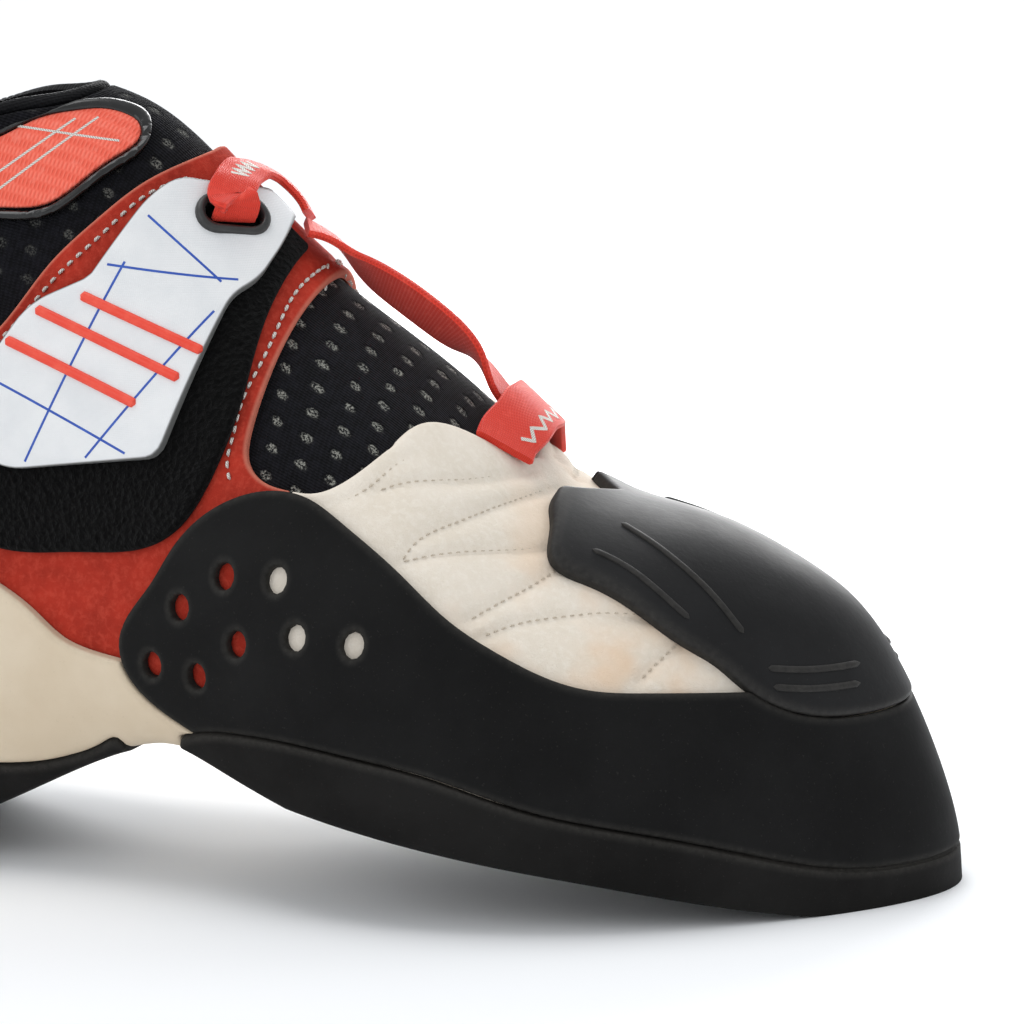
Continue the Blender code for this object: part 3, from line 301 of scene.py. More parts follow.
class Last:
    """The foot's form: sections that rise from the upper's lower edge to a crest line."""

    def __init__(self):
        self.rows = np.array(SECTIONS, float)
        self.rows[:, 0] = at_x(self.rows[:, 0])
        self.rows[:, 1] *= BALL_WIDTH
        self.rows[:, 2] *= ARCH_LIFT
        self.knots = run_of(np.vstack([self.rows[:, :2], self.rows[:1, :2]]))
        self.crest = np.array([real(*row) for row in CREST])
        run = run_of(self.crest)
        self.crest_length = run[-1]
        self.crest_knots = run / run[-1]

    def crest_share(self, k):
        half = self.knots[TIP_ROW]
        q = np.concatenate([self.rows[:, 3], self.rows[:1, 3]])
        out = steady(self.knots[:TIP_ROW + 1], q[:TIP_ROW + 1], np.clip(k, 0, half))
        back = steady(self.knots[TIP_ROW:], q[TIP_ROW:], np.clip(k, half, self.knots[-1]))
        return np.clip(np.where(k <= half, out, back), 0, 1)

    def crest_point(self, q):
        step = 1e-3
        ahead = spline(self.crest_knots, self.crest, np.clip(q + step, 0, 1))
        behind = spline(self.crest_knots, self.crest, np.clip(q - step, 0, 1))
        run = ahead - behind
        return spline(self.crest_knots, self.crest, q), run[..., 2] / run[..., 0]

    def at(self, k, s):
        """Point of the form at k round the lower edge and share s up the section."""
        k = np.mod(np.asarray(k, float), self.knots[-1])
        r = spline(self.knots, self.rows, k, closed=True)
        crest, slope = self.crest_point(self.crest_share(k))
        flat = r[..., :2] - crest[..., :2]
        w = np.linalg.norm(flat, axis=-1)
        d = flat / w[..., None]
        h = crest[..., 2] - r[..., 2]
        belly, belly_up, shoulder, shoulder_up, crown = (r[..., i] for i in range(4, 9))
        reach = (w, w * belly, w * shoulder, w * crown, 0 * w)
        rise = (0 * w, h * belly_up, h * shoulder_up, h + slope * d[..., 0] * w * crown, h)
        share = ((1 - s) ** 4, 4 * s * (1 - s) ** 3, 6 * s ** 2 * (1 - s) ** 2, 4 * s ** 3 * (1 - s), s ** 4)
        out = sum(a * b for a, b in zip(reach, share))
        up = sum(a * b for a, b in zip(rise, share))
        flat_point = crest[..., :2] + d * out[..., None]
        return np.concatenate([flat_point, (r[..., 2] + up)[..., None]], axis=-1)

    def stations(self, pieces):
        """Places round the lower edge; the two sides meet the crest line at the same points."""
        f = np.arange(TIP_ROW * pieces + 1) / pieces
        outer = np.interp(f, np.arange(TIP_ROW + 1), self.knots[:TIP_ROW + 1])
        q = self.crest_share(outer)
        dense = np.linspace(self.knots[TIP_ROW], self.knots[-1], 4001)
        dense_q = self.crest_share(dense)
        inner = []
        for j in range(len(outer) - 2, 0, -1):
            if f[j] >= FAN_ROW:
                share = (TIP_ROW - f[j]) / (TIP_ROW - FAN_ROW)
                inner.append(self.knots[TIP_ROW] + share * (self.knots[TIP_ROW + 1] - self.knots[TIP_ROW]))
            else:
                inner.append(float(np.interp(-q[j], -dense_q, dense)))
        return np.concatenate([outer, inner]), len(outer) - 1


class Sheet:
    """Triangles of the last's surface with values per point: place, direction, level, lay and more."""

    def __init__(self, values, faces):
        self.v = values
        self.faces = faces

    def part(self, keep):
        """The kept faces alone."""
        faces = self.faces[keep]
        used = np.unique(faces)
        place = -np.ones(len(self.v["co"]), int)
        place[used] = np.arange(len(used))
        return Sheet({key: a[used] for key, a in self.v.items()}, place[faces])

    def split(self, key, level, keep=True):
        """Edges laid along value == level; with keep, only the part above it stays."""
        v = self.v[key] - level
        v[np.abs(v) < 1e-5] = 0
        f = self.faces
        sign = np.sign(v)[f]
        ahead = (1, 2, 0)
        crossed = sign * sign[:, ahead] < 0
        pairs = np.stack([f, f[:, ahead]], -1)[crossed]
        pairs.sort(axis=1)
        found, which = np.unique(pairs, axis=0, return_inverse=True)
        new = -np.ones(f.shape, int)
        new[crossed] = len(v) + which.reshape(-1)
        a, b = found[:, 0], found[:, 1]
        t = v[a] / (v[a] - v[b])
        values = {}
        for name, array in self.v.items():
            blend = t.reshape((-1,) + (1,) * (array.ndim - 1))
            values[name] = np.concatenate([array, array[a] * (1 - blend) + array[b] * blend])
        values["n"] = unit(values["n"])
        v = np.concatenate([v, np.zeros(len(a))])
        values[key] = v + level
        count = crossed.sum(1)
        faces = [f[count == 0]]
        for i in range(3):
            j, k = (i + 1) % 3, (i + 2) % 3
            two = (count == 2) & crossed[:, i] & crossed[:, k]
            p, q, r, pq, rp = f[two, i], f[two, j], f[two, k], new[two, i], new[two, k]
            faces += [np.stack(t3, 1) for t3 in ((p, pq, rp), (pq, q, r), (pq, r, rp))]
            one = (count == 1) & crossed[:, i]
            p, q, r, pq = f[one, i], f[one, j], f[one, k], new[one, i]
            faces += [np.stack(t3, 1) for t3 in ((p, pq, r), (pq, q, r))]
        faces = np.concatenate(faces)
        sheet = Sheet(values, faces)
        if keep:
            return sheet.part(v[faces].sum(1) > 0)
        return sheet


def whole_surface(last):
    """The last's sides and underside as one welded sheet."""
    k, tip = last.stations(PIECES)
    count = len(k)
    up = np.linspace(0, 1, SIDE_COUNT + 1)
    side = last.at(k[:, None], up[None, :])
    edge, top = side[:, 0], side[:, -1]
    q = last.crest_share(k)
    mirror = np.array([0 if i == 0 else count - i for i in range(count)])
    fan = q >= 1
    first = int(np.argmax(fan))
    owner = np.where(fan, first, np.arange(count))
    pair = np.where(fan, first, np.minimum(np.arange(count), mirror))
    middle = top[owner].copy()
    both = (edge + edge[mirror]) / 2
    ahead = np.maximum(middle[:, 0], both[owner, 0])
    middle[:, 2] = np.interp(ahead, both[:tip + 1, 0], both[:tip + 1, 2])
    shares = np.array((1.0,) + tuple(reversed(FLOOR_ROWS)))
    floor = edge[:, None] + (middle - edge)[:, None] * shares[None, :, None]
    grid = np.concatenate([floor, side], axis=1)
    rows = grid.shape[1]
    index = np.arange(count * rows).reshape(count, rows)
    index[:, 0] = index[pair, 0]
    index[:, -1] = index[pair, -1]
    down = np.zeros((count, rows))
    fall = np.linalg.norm(np.diff(side, axis=1), axis=-1)
    down[:, len(shares):] = np.concatenate([fall[:, ::-1].cumsum(1)[:, ::-1], np.zeros((count, 1))], 1)
    hand = np.where(np.arange(count) <= tip, -1.0, 1.0)
    level = np.concatenate([-shares, up])
    a, b = index, np.roll(index, -1, axis=0)
    quads = np.stack([a[:, :-1], b[:, :-1], b[:, 1:], a[:, 1:]], -1).reshape(-1, 4)
    faces = np.concatenate([quads[:, [0, 1, 2]], quads[:, [0, 2, 3]]])
    real_face = (faces[:, 0] != faces[:, 1]) & (faces[:, 1] != faces[:, 2]) & (faces[:, 0] != faces[:, 2])
    faces = faces[real_face]
    co = grid.reshape(-1, 3)
    lay = np.stack(np.broadcast_arrays(q[:, None] * last.crest_length, down * hand[:, None]), -1)
    values = {"co": co, "level": np.tile(level, count), "lay": lay.reshape(-1, 2),
              "hand": np.repeat(hand, rows)}
    on_side = (values["level"][faces] >= 0).all(1)
    values["n"] = directions(co, faces[on_side])
    level_out = values["n"][index[:, len(shares)]] * (1, 1, 0)
    values["out"] = np.repeat(unit(level_out), rows, axis=0)
    values["n"][values["level"] < 0] = (0, 0, -1)
    values["round"] = eased(co, faces, directions(co, faces), values["level"])
    return Sheet(values, faces)


def directions(co, faces):
    """Unit outward direction at each point, from its faces."""
    a, b, c = (co[faces[:, i]] for i in range(3))
    cross = np.cross(b - a, c - a)
    total = np.zeros_like(co)
    for i in range(3):
        np.add.at(total, faces[:, i], cross)
    return unit(total)


def eased(co, faces, n, level, rounds=5):
    """Directions averaged with their neighbours near the lower edge, so that a corner comes out round."""
    near = (level > -0.12) & (level < 0.10)
    for _ in range(rounds):
        total = n.copy()
        for i in range(3):
            for j in (1, 2):
                np.add.at(total, faces[:, i], n[faces[:, (i + j) % 3]])
        n = np.where(near[:, None], unit(total), n)
    return n


def smooth_line(points, pieces=12):
    points = np.array(points, float)
    knots = run_of(points)
    at = np.concatenate([np.linspace(a, b, pieces, endpoint=False) for a, b in zip(knots[:-1], knots[1:])] +
                        [[knots[-1]]])
    return spline(knots, points, at)


def smooth_ring(points, pieces=12):
    points = np.array(points, float)
    knots = run_of(np.vstack([points, points[:1]]))
    at = np.concatenate([np.linspace(a, b, pieces, endpoint=False) for a, b in zip(knots[:-1], knots[1:])])
    return spline(knots, points, at, closed=True)


def rounded(points, radius, pieces=8):
    """Corners of a closed outline, in metres, turned into short arcs."""
    points = np.array(points, float)
    result = []
    for i, here in enumerate(points):
        before, after = points[i - 1] - here, points[(i + 1) % len(points)] - here
        reach = min(radius, np.linalg.norm(before) * 0.45, np.linalg.norm(after) * 0.45)
        start = here + unit(before) * reach
        end = here + unit(after) * reach
        for u in np.linspace(0, 1, pieces + 1):
            result.append(start * (1 - u) ** 2 + 2 * here * u * (1 - u) + end * u * u)
    return np.array(result)


def side_points(line):
    """Side view shares to metres."""
    return np.array([(at_x(a), h * INSTEP_HEIGHT) for a, h in line])


def plan_points(line):
    """Plan view shares to metres."""
    return np.array([(at_x(a), s * BALL_WIDTH) for a, s in line])


def side_line(line):
    return smooth_line(side_points(line))


def under(line):
    return np.vstack([line, [(line[-1][0], -0.05), (line[0][0], -0.05)]])


def above(line):
    return np.vstack([line, [(line[-1][0], OUT * INSTEP_HEIGHT), (line[0][0], OUT * INSTEP_HEIGHT)]])


def to_segments(points, a, b):
    """Distance from each point to the nearest of the segments a to b."""
    best = np.full(len(points), np.inf)
    run = b - a
    size = np.maximum((run ** 2).sum(1), 1e-18)
    for start in range(0, len(points), 4096):
        p = points[start:start + 4096, None]
        t = np.clip(((p - a) * run).sum(-1) / size, 0, 1)
        gap = p - a - run * t[..., None]
        best[start:start + 4096] = np.sqrt((gap ** 2).sum(-1).min(1))
    return best


def inside(points, ring):
    """Distance to a closed outline, positive inside it."""
    a, b = ring, np.roll(ring, -1, axis=0)
    distance = to_segments(points, a, b)
    odd = np.zeros(len(points), bool)
    for start in range(0, len(points), 4096):
        x, y = points[start:start + 4096, 0, None], points[start:start + 4096, 1, None]
        spans = (a[:, 1] > y) != (b[:, 1] > y)
        rise = np.where(b[:, 1] == a[:, 1], 1e-12, b[:, 1] - a[:, 1])
        cross = a[:, 0] + (y - a[:, 1]) / rise * (b[:, 0] - a[:, 0])
        odd[start:start + 4096] = (spans & (x < cross)).sum(1) % 2 == 1
    return np.where(odd, distance, -distance)


def near_lines(points, lines):
    """Distance from points in space to the nearest of several lines."""
    a = np.concatenate([np.asarray(line)[:-1] for line in lines])
    b = np.concatenate([np.asarray(line)[1:] for line in lines])
    return to_segments(points, a, b)


def below(sheet, level):
    """Faces that lie wholly below a level up the sections."""
    return (sheet.v["level"][sheet.faces] < level).all(1)


def placed(sheet, offset):
    """Points of a sheet moved outward."""
    return sheet.v["co"] + sheet.v["n"] * offset


def seen(sheet, offset):
    """Side view of a sheet moved outward."""
    return placed(sheet, offset)[:, [0, 2]]


def new_mesh(name, points, faces, smooth_angle=38.0):
    mesh = bpy.data.meshes.new(name)
    points = np.asarray(points, np.float32)
    faces = np.asarray(faces, np.int32)
    size = faces.shape[1]
    mesh.vertices.add(len(points))
    mesh.vertices.foreach_set("co", points.ravel())
    mesh.loops.add(faces.size)
    mesh.loops.foreach_set("vertex_index", faces.ravel())
    mesh.polygons.add(len(faces))
    mesh.polygons.foreach_set("loop_start", np.arange(0, faces.size, size, dtype=np.int32))
    mesh.update(calc_edges=True)
    mesh.validate()
    obj = bpy.data.objects.new(name, mesh)
    bpy.context.scene.collection.objects.link(obj)
    mesh.shade_smooth()
    mesh.set_sharp_from_angle(angle=math.radians(smooth_angle))
    return obj


def set_value(obj, name, values):
    """Values per point that the materials read."""
    values = np.asarray(values, np.float32)
    if values.ndim == 2:
        full = np.zeros((len(values), 3), np.float32)
        full[:, :values.shape[1]] = values
        obj.data.attributes.new(name, "FLOAT_VECTOR", "POINT").data.foreach_set("vector", full.ravel())
    else:
        obj.data.attributes.new(name, "FLOAT", "POINT").data.foreach_set("value", values)


def wear(obj, node, material):
    """Gives a piece its material, ties it to the shoe, and lets it stand for its solid."""
    obj.data.materials.append(material)
    if node:
        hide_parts(node)
    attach(obj, "root")
    return obj


def layer(name, sheet, phi, inner, outer, bevel=0.0006, relief=None):
    """Closed layer where phi is positive, with rounded edges. inner and outer are offsets, or functions that
    give points from the cut sheet; relief gives more height."""
    sheet = Sheet(dict(sheet.v, phi=phi), sheet.faces).part((phi[sheet.faces] > 0).any(1))
    sheet = sheet.split("phi", 0.0)
    for level in (0.12, 0.4, 1.0):
        sheet = sheet.split("phi", bevel * level, keep=False)
    p = np.clip(sheet.v["phi"] / bevel, 0, 1)
    drop = bevel * (1 - np.sqrt(np.clip(1 - (1 - p) ** 2, 0, 1)))
    out = outer(sheet) if callable(outer) else placed(sheet, outer)
    back = inner(sheet) if callable(inner) else placed(sheet, inner)
    height = -drop
    if relief is not None:
        height = height + relief(sheet, out) * np.clip(sheet.v["phi"] / (2 * bevel), 0, 1)
    out = out + sheet.v["n"] * height[:, None]
    n = len(out)
    f = sheet.faces
    edges = np.concatenate([f[:, [0, 1]], f[:, [1, 2]], f[:, [2, 0]]])
    order = np.sort(edges, axis=1)
    keys = order[:, 0] * n + order[:, 1]
    _, where, number = np.unique(keys, return_index=True, return_counts=True)
    rim = edges[where[number == 1]]
    walls = np.concatenate([np.stack([rim[:, 1], rim[:, 0], rim[:, 0] + n], 1),
                            np.stack([rim[:, 1], rim[:, 0] + n, rim[:, 1] + n], 1)])
    obj = new_mesh(name, np.concatenate([out, back]), np.concatenate([f, f[:, ::-1] + n, walls]))
    set_value(obj, "lay", np.concatenate([sheet.v["lay"]] * 2))
    set_value(obj, "edge", np.concatenate([sheet.v["phi"], sheet.v["phi"] * 0]))
    return obj


class Skin:
    """The sides moved outward by one distance, to lay lines and stitches on."""

    made = {}

    def __init__(self, sheet, offset):
        keep = (sheet.v["level"][sheet.faces] >= 0).all(1)
        self.sheet = sheet.part(keep)
        self.points = placed(self.sheet, offset)
        self.tree = BVHTree.FromPolygons([tuple(p) for p in self.points.tolist()],
                                         [tuple(f) for f in self.sheet.faces.tolist()])

    def land(self, start, aim):
        spot, _, face, _ = self.tree.ray_cast(Vector(start), Vector(aim))
        if spot is None:
            spot, _, face, _ = self.tree.find_nearest(Vector(start))
        corners = self.sheet.faces[face]
        a, b, c = self.points[corners]
        p = np.array(spot)
        weights = np.array([np.linalg.norm(np.cross(b - p, c - p)), np.linalg.norm(np.cross(c - p, a - p)),
                            np.linalg.norm(np.cross(a - p, b - p))])
        weights /= max(weights.sum(), 1e-15)
        return p, unit(weights @ self.sheet.v["n"][corners])

    def from_side(self, line, hand=-1):
        """A side view line laid on the outer side, or on the inner side with hand 1."""
        found = [self.land((x, hand * 0.2, z), (0, -hand, 0)) for x, z in line]
        return np.array([f[0] for f in found]), np.array([f[1] for f in found])


def skin_at(offset):
    if offset not in Skin.made:
        Skin.made[offset] = Skin(SURFACE, offset)
    return Skin.made[offset]


def read(at, run, rows):
    """A line's places or directions at given lengths along it."""
    return np.stack([np.interp(at, run, rows[:, i]) for i in range(3)], 1)


def tube(grid, closed=False):
    """Triangles round and along a grid of rings, with the open ends filled."""
    a = grid if closed else grid[:-1]
    b = np.roll(grid, -1, 0) if closed else grid[1:]
    quads = np.stack([a, np.roll(a, -1, 1), np.roll(b, -1, 1), b], -1).reshape(-1, 4)
    faces = [quads[:, [0, 1, 2]], quads[:, [0, 2, 3]]]
    if not closed:
        for row, step in ((grid[0], -1), (grid[-1], 1)):
            faces.append(np.stack([np.full(len(row) - 2, row[0]), row[1:-1], row[2:]], 1)[:, ::step])
    return np.concatenate(faces)


def bead(name, lines, profile, closed=False, taper=0.0):
    """Bars along lines on the surface. profile gives (across, up) for each corner of the cross-section."""
    profile = np.array(profile, float)
    m = len(profile)
    points, faces, lay, base = [], [], [], 0
    for line, normals in lines:
        n = len(line)
        if closed:
            run = np.roll(line, -1, 0) - np.roll(line, 1, 0)
        else:
            run = np.gradient(line, axis=0)
        along = unit(run)
        across = unit(np.cross(normals, along))
        up = np.cross(along, across)
        size = np.ones(n)
        if taper and not closed:
            far = np.minimum(run_of(line), run_of(line)[-1] - run_of(line)) / taper
            size = np.sqrt(np.clip(1 - (1 - np.clip(far, 0, 1)) ** 2, 0.02, 1))
        ring = (line[:, None] + across[:, None] * (profile[None, :, 0] * size[:, None])[..., None]
                + up[:, None] * (profile[None, :, 1] * size[:, None])[..., None])
        points.append(ring.reshape(-1, 3))
        flat = np.broadcast_arrays(run_of(line)[:, None], profile[None, :, 0])
        lay.append(np.stack(flat, -1).reshape(-1, 2))
        faces.append(tube(base + np.arange(n * m).reshape(n, m), closed))
        base += n * m
    obj = new_mesh(name, np.concatenate(points), np.concatenate(faces))
    set_value(obj, "lay", np.concatenate(lay))
    return obj


def round_profile(width, height, sides=10, sunk=0.0003):
    """Half-round cross-section that stands on the surface."""
    turns = np.linspace(math.pi, 0, sides)
    top = [(width / 2 * math.cos(a), height * math.sin(a) ** 0.8) for a in turns]
    return [(-width / 2, -sunk)] + top + [(width / 2, -sunk)]


def flat_profile(half, sunk, height):
    """Thin flat cross-section, a little over the surface."""
    return [(-half, -sunk), (-half, height), (half, height), (half, -sunk)]


def stitches(name, lines, pitch, length, radius, lift=0.00005):
    """Short rounded stitches along lines of the surface, joined in one mesh."""
    rings, sides = 6, 6
    t = np.linspace(-1, 1, rings)
    turn = np.arange(sides) * 2 * math.pi / sides
    points, faces, lay, base = [], [], [], 0
    for line, normals in lines:
        run = run_of(line)
        for middle in np.arange(pitch / 2, run[-1] - pitch / 3, pitch):
            at = np.clip(middle + t * length / 2, 0, run[-1])
            spot = read(at, run, line)
            n = unit(read(at, run, normals))
            along = unit(np.gradient(spot, axis=0))
            across = np.cross(n, along)
            size = radius * np.sqrt(np.clip(1.02 - t ** 4, 0.0, 1))
            spot = spot + n * (lift + radius * (0.9 - 1.5 * t ** 4))[:, None]
            ring = spot[:, None] + (across[:, None] * np.cos(turn)[None, :, None]
                                    + n[:, None] * np.sin(turn)[None, :, None]) * size[:, None, None]
            points.append(ring.reshape(-1, 3))
            lay.append(np.stack(np.broadcast_arrays(at[:, None], turn[None, :] * radius), -1).reshape(-1, 2))
            faces.append(tube(base + np.arange(rings * sides).reshape(rings, sides)))
            base += rings * sides
    obj = new_mesh(name, np.concatenate(points), np.concatenate(faces)[:, ::-1])
    set_value(obj, "lay", np.concatenate(lay))
    return obj


LAST = Last()
SURFACE = whole_surface(LAST)
ON_SIDE = SURFACE.part((SURFACE.v["level"][SURFACE.faces] >= 0).all(1))
EASED = Sheet(dict(SURFACE.v, n=SURFACE.v["round"]), SURFACE.faces)


def tone(code):
    """Colour written as on a screen, as the shaders take it."""
    parts = [int(code[i:i + 2], 16) / 255 for i in (1, 3, 5)]
    return [c / 12.92 if c <= 0.04045 else ((c + 0.055) / 1.055) ** 2.4 for c in parts]


class Finish:
    """A procedural material, with short calls for its nodes."""

    def __init__(self, name, roughness=0.6, **fixed):
        self.material = bpy.data.materials.new(name)
        self.material.use_nodes = True
        self.tree = self.material.node_tree
        self.shader = self.tree.nodes["Principled BSDF"]
        self.shader.inputs["Roughness"].default_value = roughness
        for key, value in fixed.items():
            self.shader.inputs[key.replace("_", " ")].default_value = value
        self.space = self.tree.nodes.new("ShaderNodeTexCoord").outputs["Object"]

    def link(self, source, socket):
        self.tree.links.new(source, socket)

    def feed(self, source, socket):
        if isinstance(source, bpy.types.NodeSocket):
            self.link(source, socket)
        elif isinstance(source, (tuple, list)) and len(source) == 3 and socket.type == "RGBA":
            socket.default_value = (*source, 1)
        else:
            socket.default_value = source

    def value(self, name, vector=False):
        node = self.tree.nodes.new("ShaderNodeAttribute")
        node.attribute_name = name
        return node.outputs["Vector" if vector else "Fac"]

    def noise(self, scale, detail=3.0, rough=0.55, distortion=0.0):
        node = self.tree.nodes.new("ShaderNodeTexNoise")
        node.inputs["Scale"].default_value = scale
        node.inputs["Detail"].default_value = detail
        node.inputs["Roughness"].default_value = rough
        node.inputs["Distortion"].default_value = distortion
        self.link(self.space, node.inputs["Vector"])
        return node.outputs["Fac"]

    def cells(self, scale):
        node = self.tree.nodes.new("ShaderNodeTexVoronoi")
        node.inputs["Scale"].default_value = scale
        self.link(self.space, node.inputs["Vector"])
        return node.outputs["Distance"]

    def math(self, operation, a, b=0.0, c=0.0):
        node = self.tree.nodes.new("ShaderNodeMath")
        node.operation = operation
        for socket, source in zip(node.inputs, (a, b, c)):
            self.feed(source, socket)
        return node.outputs[0]

    def times(self, a, b):
        return self.math("MULTIPLY", a, b)

    def range(self, source, low, high, to_low=0.0, to_high=1.0):
        node = self.tree.nodes.new("ShaderNodeMapRange")
        node.interpolation_type = "SMOOTHSTEP"
        self.feed(source, node.inputs[0])
        for i, number in enumerate((low, high, to_low, to_high)):
            node.inputs[i + 1].default_value = number
        return node.outputs[0]

    def mix(self, share, a, b, blend="MIX"):
        node = self.tree.nodes.new("ShaderNodeMix")
        node.data_type = "RGBA"
        node.blend_type = blend
        for socket, source in zip((node.inputs[0], node.inputs[6], node.inputs[7]), (share, a, b)):
            self.feed(source, socket)
        return node.outputs[2]

    def split(self, vector):
        node = self.tree.nodes.new("ShaderNodeSeparateXYZ")
        self.link(vector, node.inputs[0])
        return node.outputs

    def bump(self, height, distance, strength=1.0):
        node = self.tree.nodes.new("ShaderNodeBump")
        node.inputs["Strength"].default_value = strength
        node.inputs["Distance"].default_value = distance
        self.link(height, node.inputs["Height"])
        before = self.shader.inputs["Normal"]
        if before.is_linked:
            self.link(before.links[0].from_socket, node.inputs["Normal"])
        self.link(node.outputs["Normal"], before)

    def colour(self, source):
        self.feed(source, self.shader.inputs["Base Color"])

    def rough(self, source):
        self.feed(source, self.shader.inputs["Roughness"])


def rubber(name, dark, light, roughness=0.58, dust="#5A5752", grain=900.0, gloss=0.28):
    """Matt moulded rubber with faint bloom, dust in patches and worn edges."""
    f = Finish(name, roughness, Specular_IOR_Level=gloss)
    broad = f.noise(38.0, 5.0, 0.6)
    fine = f.noise(grain, 3.0, 0.6)
    base = f.mix(f.range(broad, 0.35, 0.68), tone(dark), tone(light))
    specks = f.range(f.noise(2300.0, 1.0), 0.69, 0.76)
    base = f.mix(f.times(specks, 0.10), base, tone(dust))
    edge = f.range(f.value("edge"), 0.0, 0.0016, 1.0, 0.0)
    base = f.mix(f.times(f.times(edge, fine), 0.35), base, tone(dust))
    f.colour(base)
    f.rough(f.range(broad, 0.25, 0.8, roughness + 0.08, roughness - 0.07))
    f.bump(fine, 0.00010, 0.35)
    f.bump(broad, 0.0006, 0.12)
    return f.material


def suede(name, base, dark, light, sheen, nap=3400.0, raw=None, stain=None):
    """Split leather with a soft nap brushed in patches, pores and a little dirt at its edges."""
    f = Finish(name, 0.88, Specular_IOR_Level=0.16, Sheen_Weight=sheen, Sheen_Roughness=0.45)
    f.shader.inputs["Sheen Tint"].default_value = (*tone(light), 1)
    patches = f.noise(120.0, 4.0, 0.55, distortion=0.3)
    brushed = f.noise(900.0, 4.0, 0.6, distortion=0.4)
    fibres = f.noise(nap, 2.0, 0.7)
    c = f.mix(f.range(patches, 0.30, 0.72), tone(dark), tone(base))
    c = f.mix(f.times(f.range(brushed, 0.42, 0.72), 0.45), c, tone(light))
    c = f.mix(f.times(f.range(fibres, 0.50, 0.75), 0.25), c, tone(dark))
    if stain:
        place = f.range(f.split(f.space)[0], STAIN_FROM, STAIN_FULL)
        spots = f.times(f.range(f.noise(60.0, 3.0, 0.5), 0.42, 0.68), place)
        c = f.mix(f.times(spots, 0.6), c, tone(stain))
    if raw:
        c = f.mix(f.range(f.value("edge"), 0.0001, 0.0008, 0.55, 0.0), c, tone(raw))
    f.colour(c)
    f.bump(fibres, 0.00016, 0.6)
    f.bump(brushed, 0.00025, 0.35)
    return f.material


def knit(name, base, dot):
    """Stretch knit: fine ribs in rows, with staggered open dots that show a grey ground."""
    f = Finish(name, 0.85, Specular_IOR_Level=0.10, Sheen_Weight=0.04, Sheen_Roughness=0.5)
    lay = f.value("lay", True)
    x, y, _ = f.split(lay)
    ribs = f.math("SINE", f.times(y, 2 * math.pi / 0.00052))
    loops = f.math("SINE", f.times(x, 2 * math.pi / 0.00085))
    weave = f.times(f.math("ADD", ribs, f.times(loops, 0.6)), 0.3)
    mottled = f.noise(650.0, 3.0)
    c = f.mix(f.range(mottled, 0.35, 0.7), tone(base), tone("#121217"))
    c = f.mix(f.range(weave, 0.05, 0.45, 0.0, 0.5), c, tone("#1C1C22"))
    f.bump(weave, 0.00022, 0.8)
    row = f.math("DIVIDE", y, KNIT_UP)
    lean = f.times(f.math("FLOOR", row), 0.08)
    wander = f.times(f.noise(60.0, 1.0), 0.5)
    column = f.math("ADD", f.math("ADD", f.math("DIVIDE", x, KNIT_ALONG), lean), wander)
    u = f.times(f.math("SUBTRACT", f.math("FRACT", column), 0.5), KNIT_ALONG / KNIT_DOT[0])
    v = f.times(f.math("SUBTRACT", f.math("FRACT", row), 0.5), KNIT_UP / KNIT_DOT[1])
    far = f.math("SQRT", f.math("ADD", f.times(u, u), f.times(v, v)))
    far = f.math("ADD", far, f.times(f.math("SUBTRACT", f.noise(1500.0, 2.0), 0.5), 0.5))
    spot = f.range(far, 0.34, 0.54, 1.0, 0.0)
    speckle = f.range(f.noise(3000.0, 2.0), 0.40, 0.66)
    shown = f.range(f.split(f.space)[0], 0.045, 0.095, 0.16, 0.9)
    c = f.mix(f.times(f.times(spot, speckle), shown), c, tone(dot))
    f.bump(f.range(far, 0.30, 0.75), 0.0005, 0.7)
    f.colour(c)
    return f.material


def woven(name, base, dark, light, along=0.00062, across=0.00034, gloss=0.25, sheen=0.15):
    """Narrow webbing: ribs across it and a fine twill along it."""
    f = Finish(name, 0.6, Specular_IOR_Level=gloss, Sheen_Weight=sheen, Sheen_Roughness=0.4)
    x, y, _ = f.split(f.value("lay", True))
    rib = f.math("SINE", f.times(x, 2 * math.pi / along))
    warp = f.math("SINE", f.times(y, 2 * math.pi / across))
    cross = f.math("ADD", f.times(rib, warp), f.times(warp, 0.5))
    c = f.mix(f.range(cross, -0.7, 0.9), tone(dark), tone(base))
    c = f.mix(f.times(f.range(f.noise(700.0, 4.0), 0.5, 0.75), 0.4), c, tone(light))
    f.colour(c)
    f.bump(cross, 0.00009, 0.6)
    return f.material


def sheet_plastic(name, base, dark, roughness=0.34):
    """Smooth coated sheet with a very fine weave pressed in."""
    f = Finish(name, roughness, Specular_IOR_Level=0.45)
    x, _, z = f.split(f.space)
    a = f.math("SINE", f.times(f.math("ADD", x, z), 2 * math.pi / 0.0007))
    b = f.math("SINE", f.times(f.math("SUBTRACT", x, z), 2 * math.pi / 0.0007))
    weave = f.times(a, b)
    c = f.mix(f.range(f.noise(120.0, 4.0), 0.3, 0.75), tone(base), tone(dark))
    c = f.mix(f.range(f.value("edge"), 0.00005, 0.00040, 0.85, 0.0), c, tone("#3C3C38"))
    f.colour(c)
    f.bump(weave, 0.00005, 0.25)
    return f.material


def fuzz(name, base, light):
    """Loop pile of a hook-and-loop pad."""
    f = Finish(name, 0.95, Specular_IOR_Level=0.03, Sheen_Weight=0.05, Sheen_Roughness=0.6)
    curls = f.cells(900.0)
    pile = f.noise(520.0, 5.0, 0.75, distortion=1.5)
    c = f.mix(f.range(pile, 0.35, 0.75), tone(base), tone(light))
    lint = f.range(f.noise(1900.0, 2.0), 0.72, 0.78)
    c = f.mix(f.times(lint, 0.22), c, tone("#3A3A3C"))
    f.colour(c)
    f.bump(curls, 0.0005, 0.8)
    f.bump(pile, 0.0012, 0.7)
    return f.material


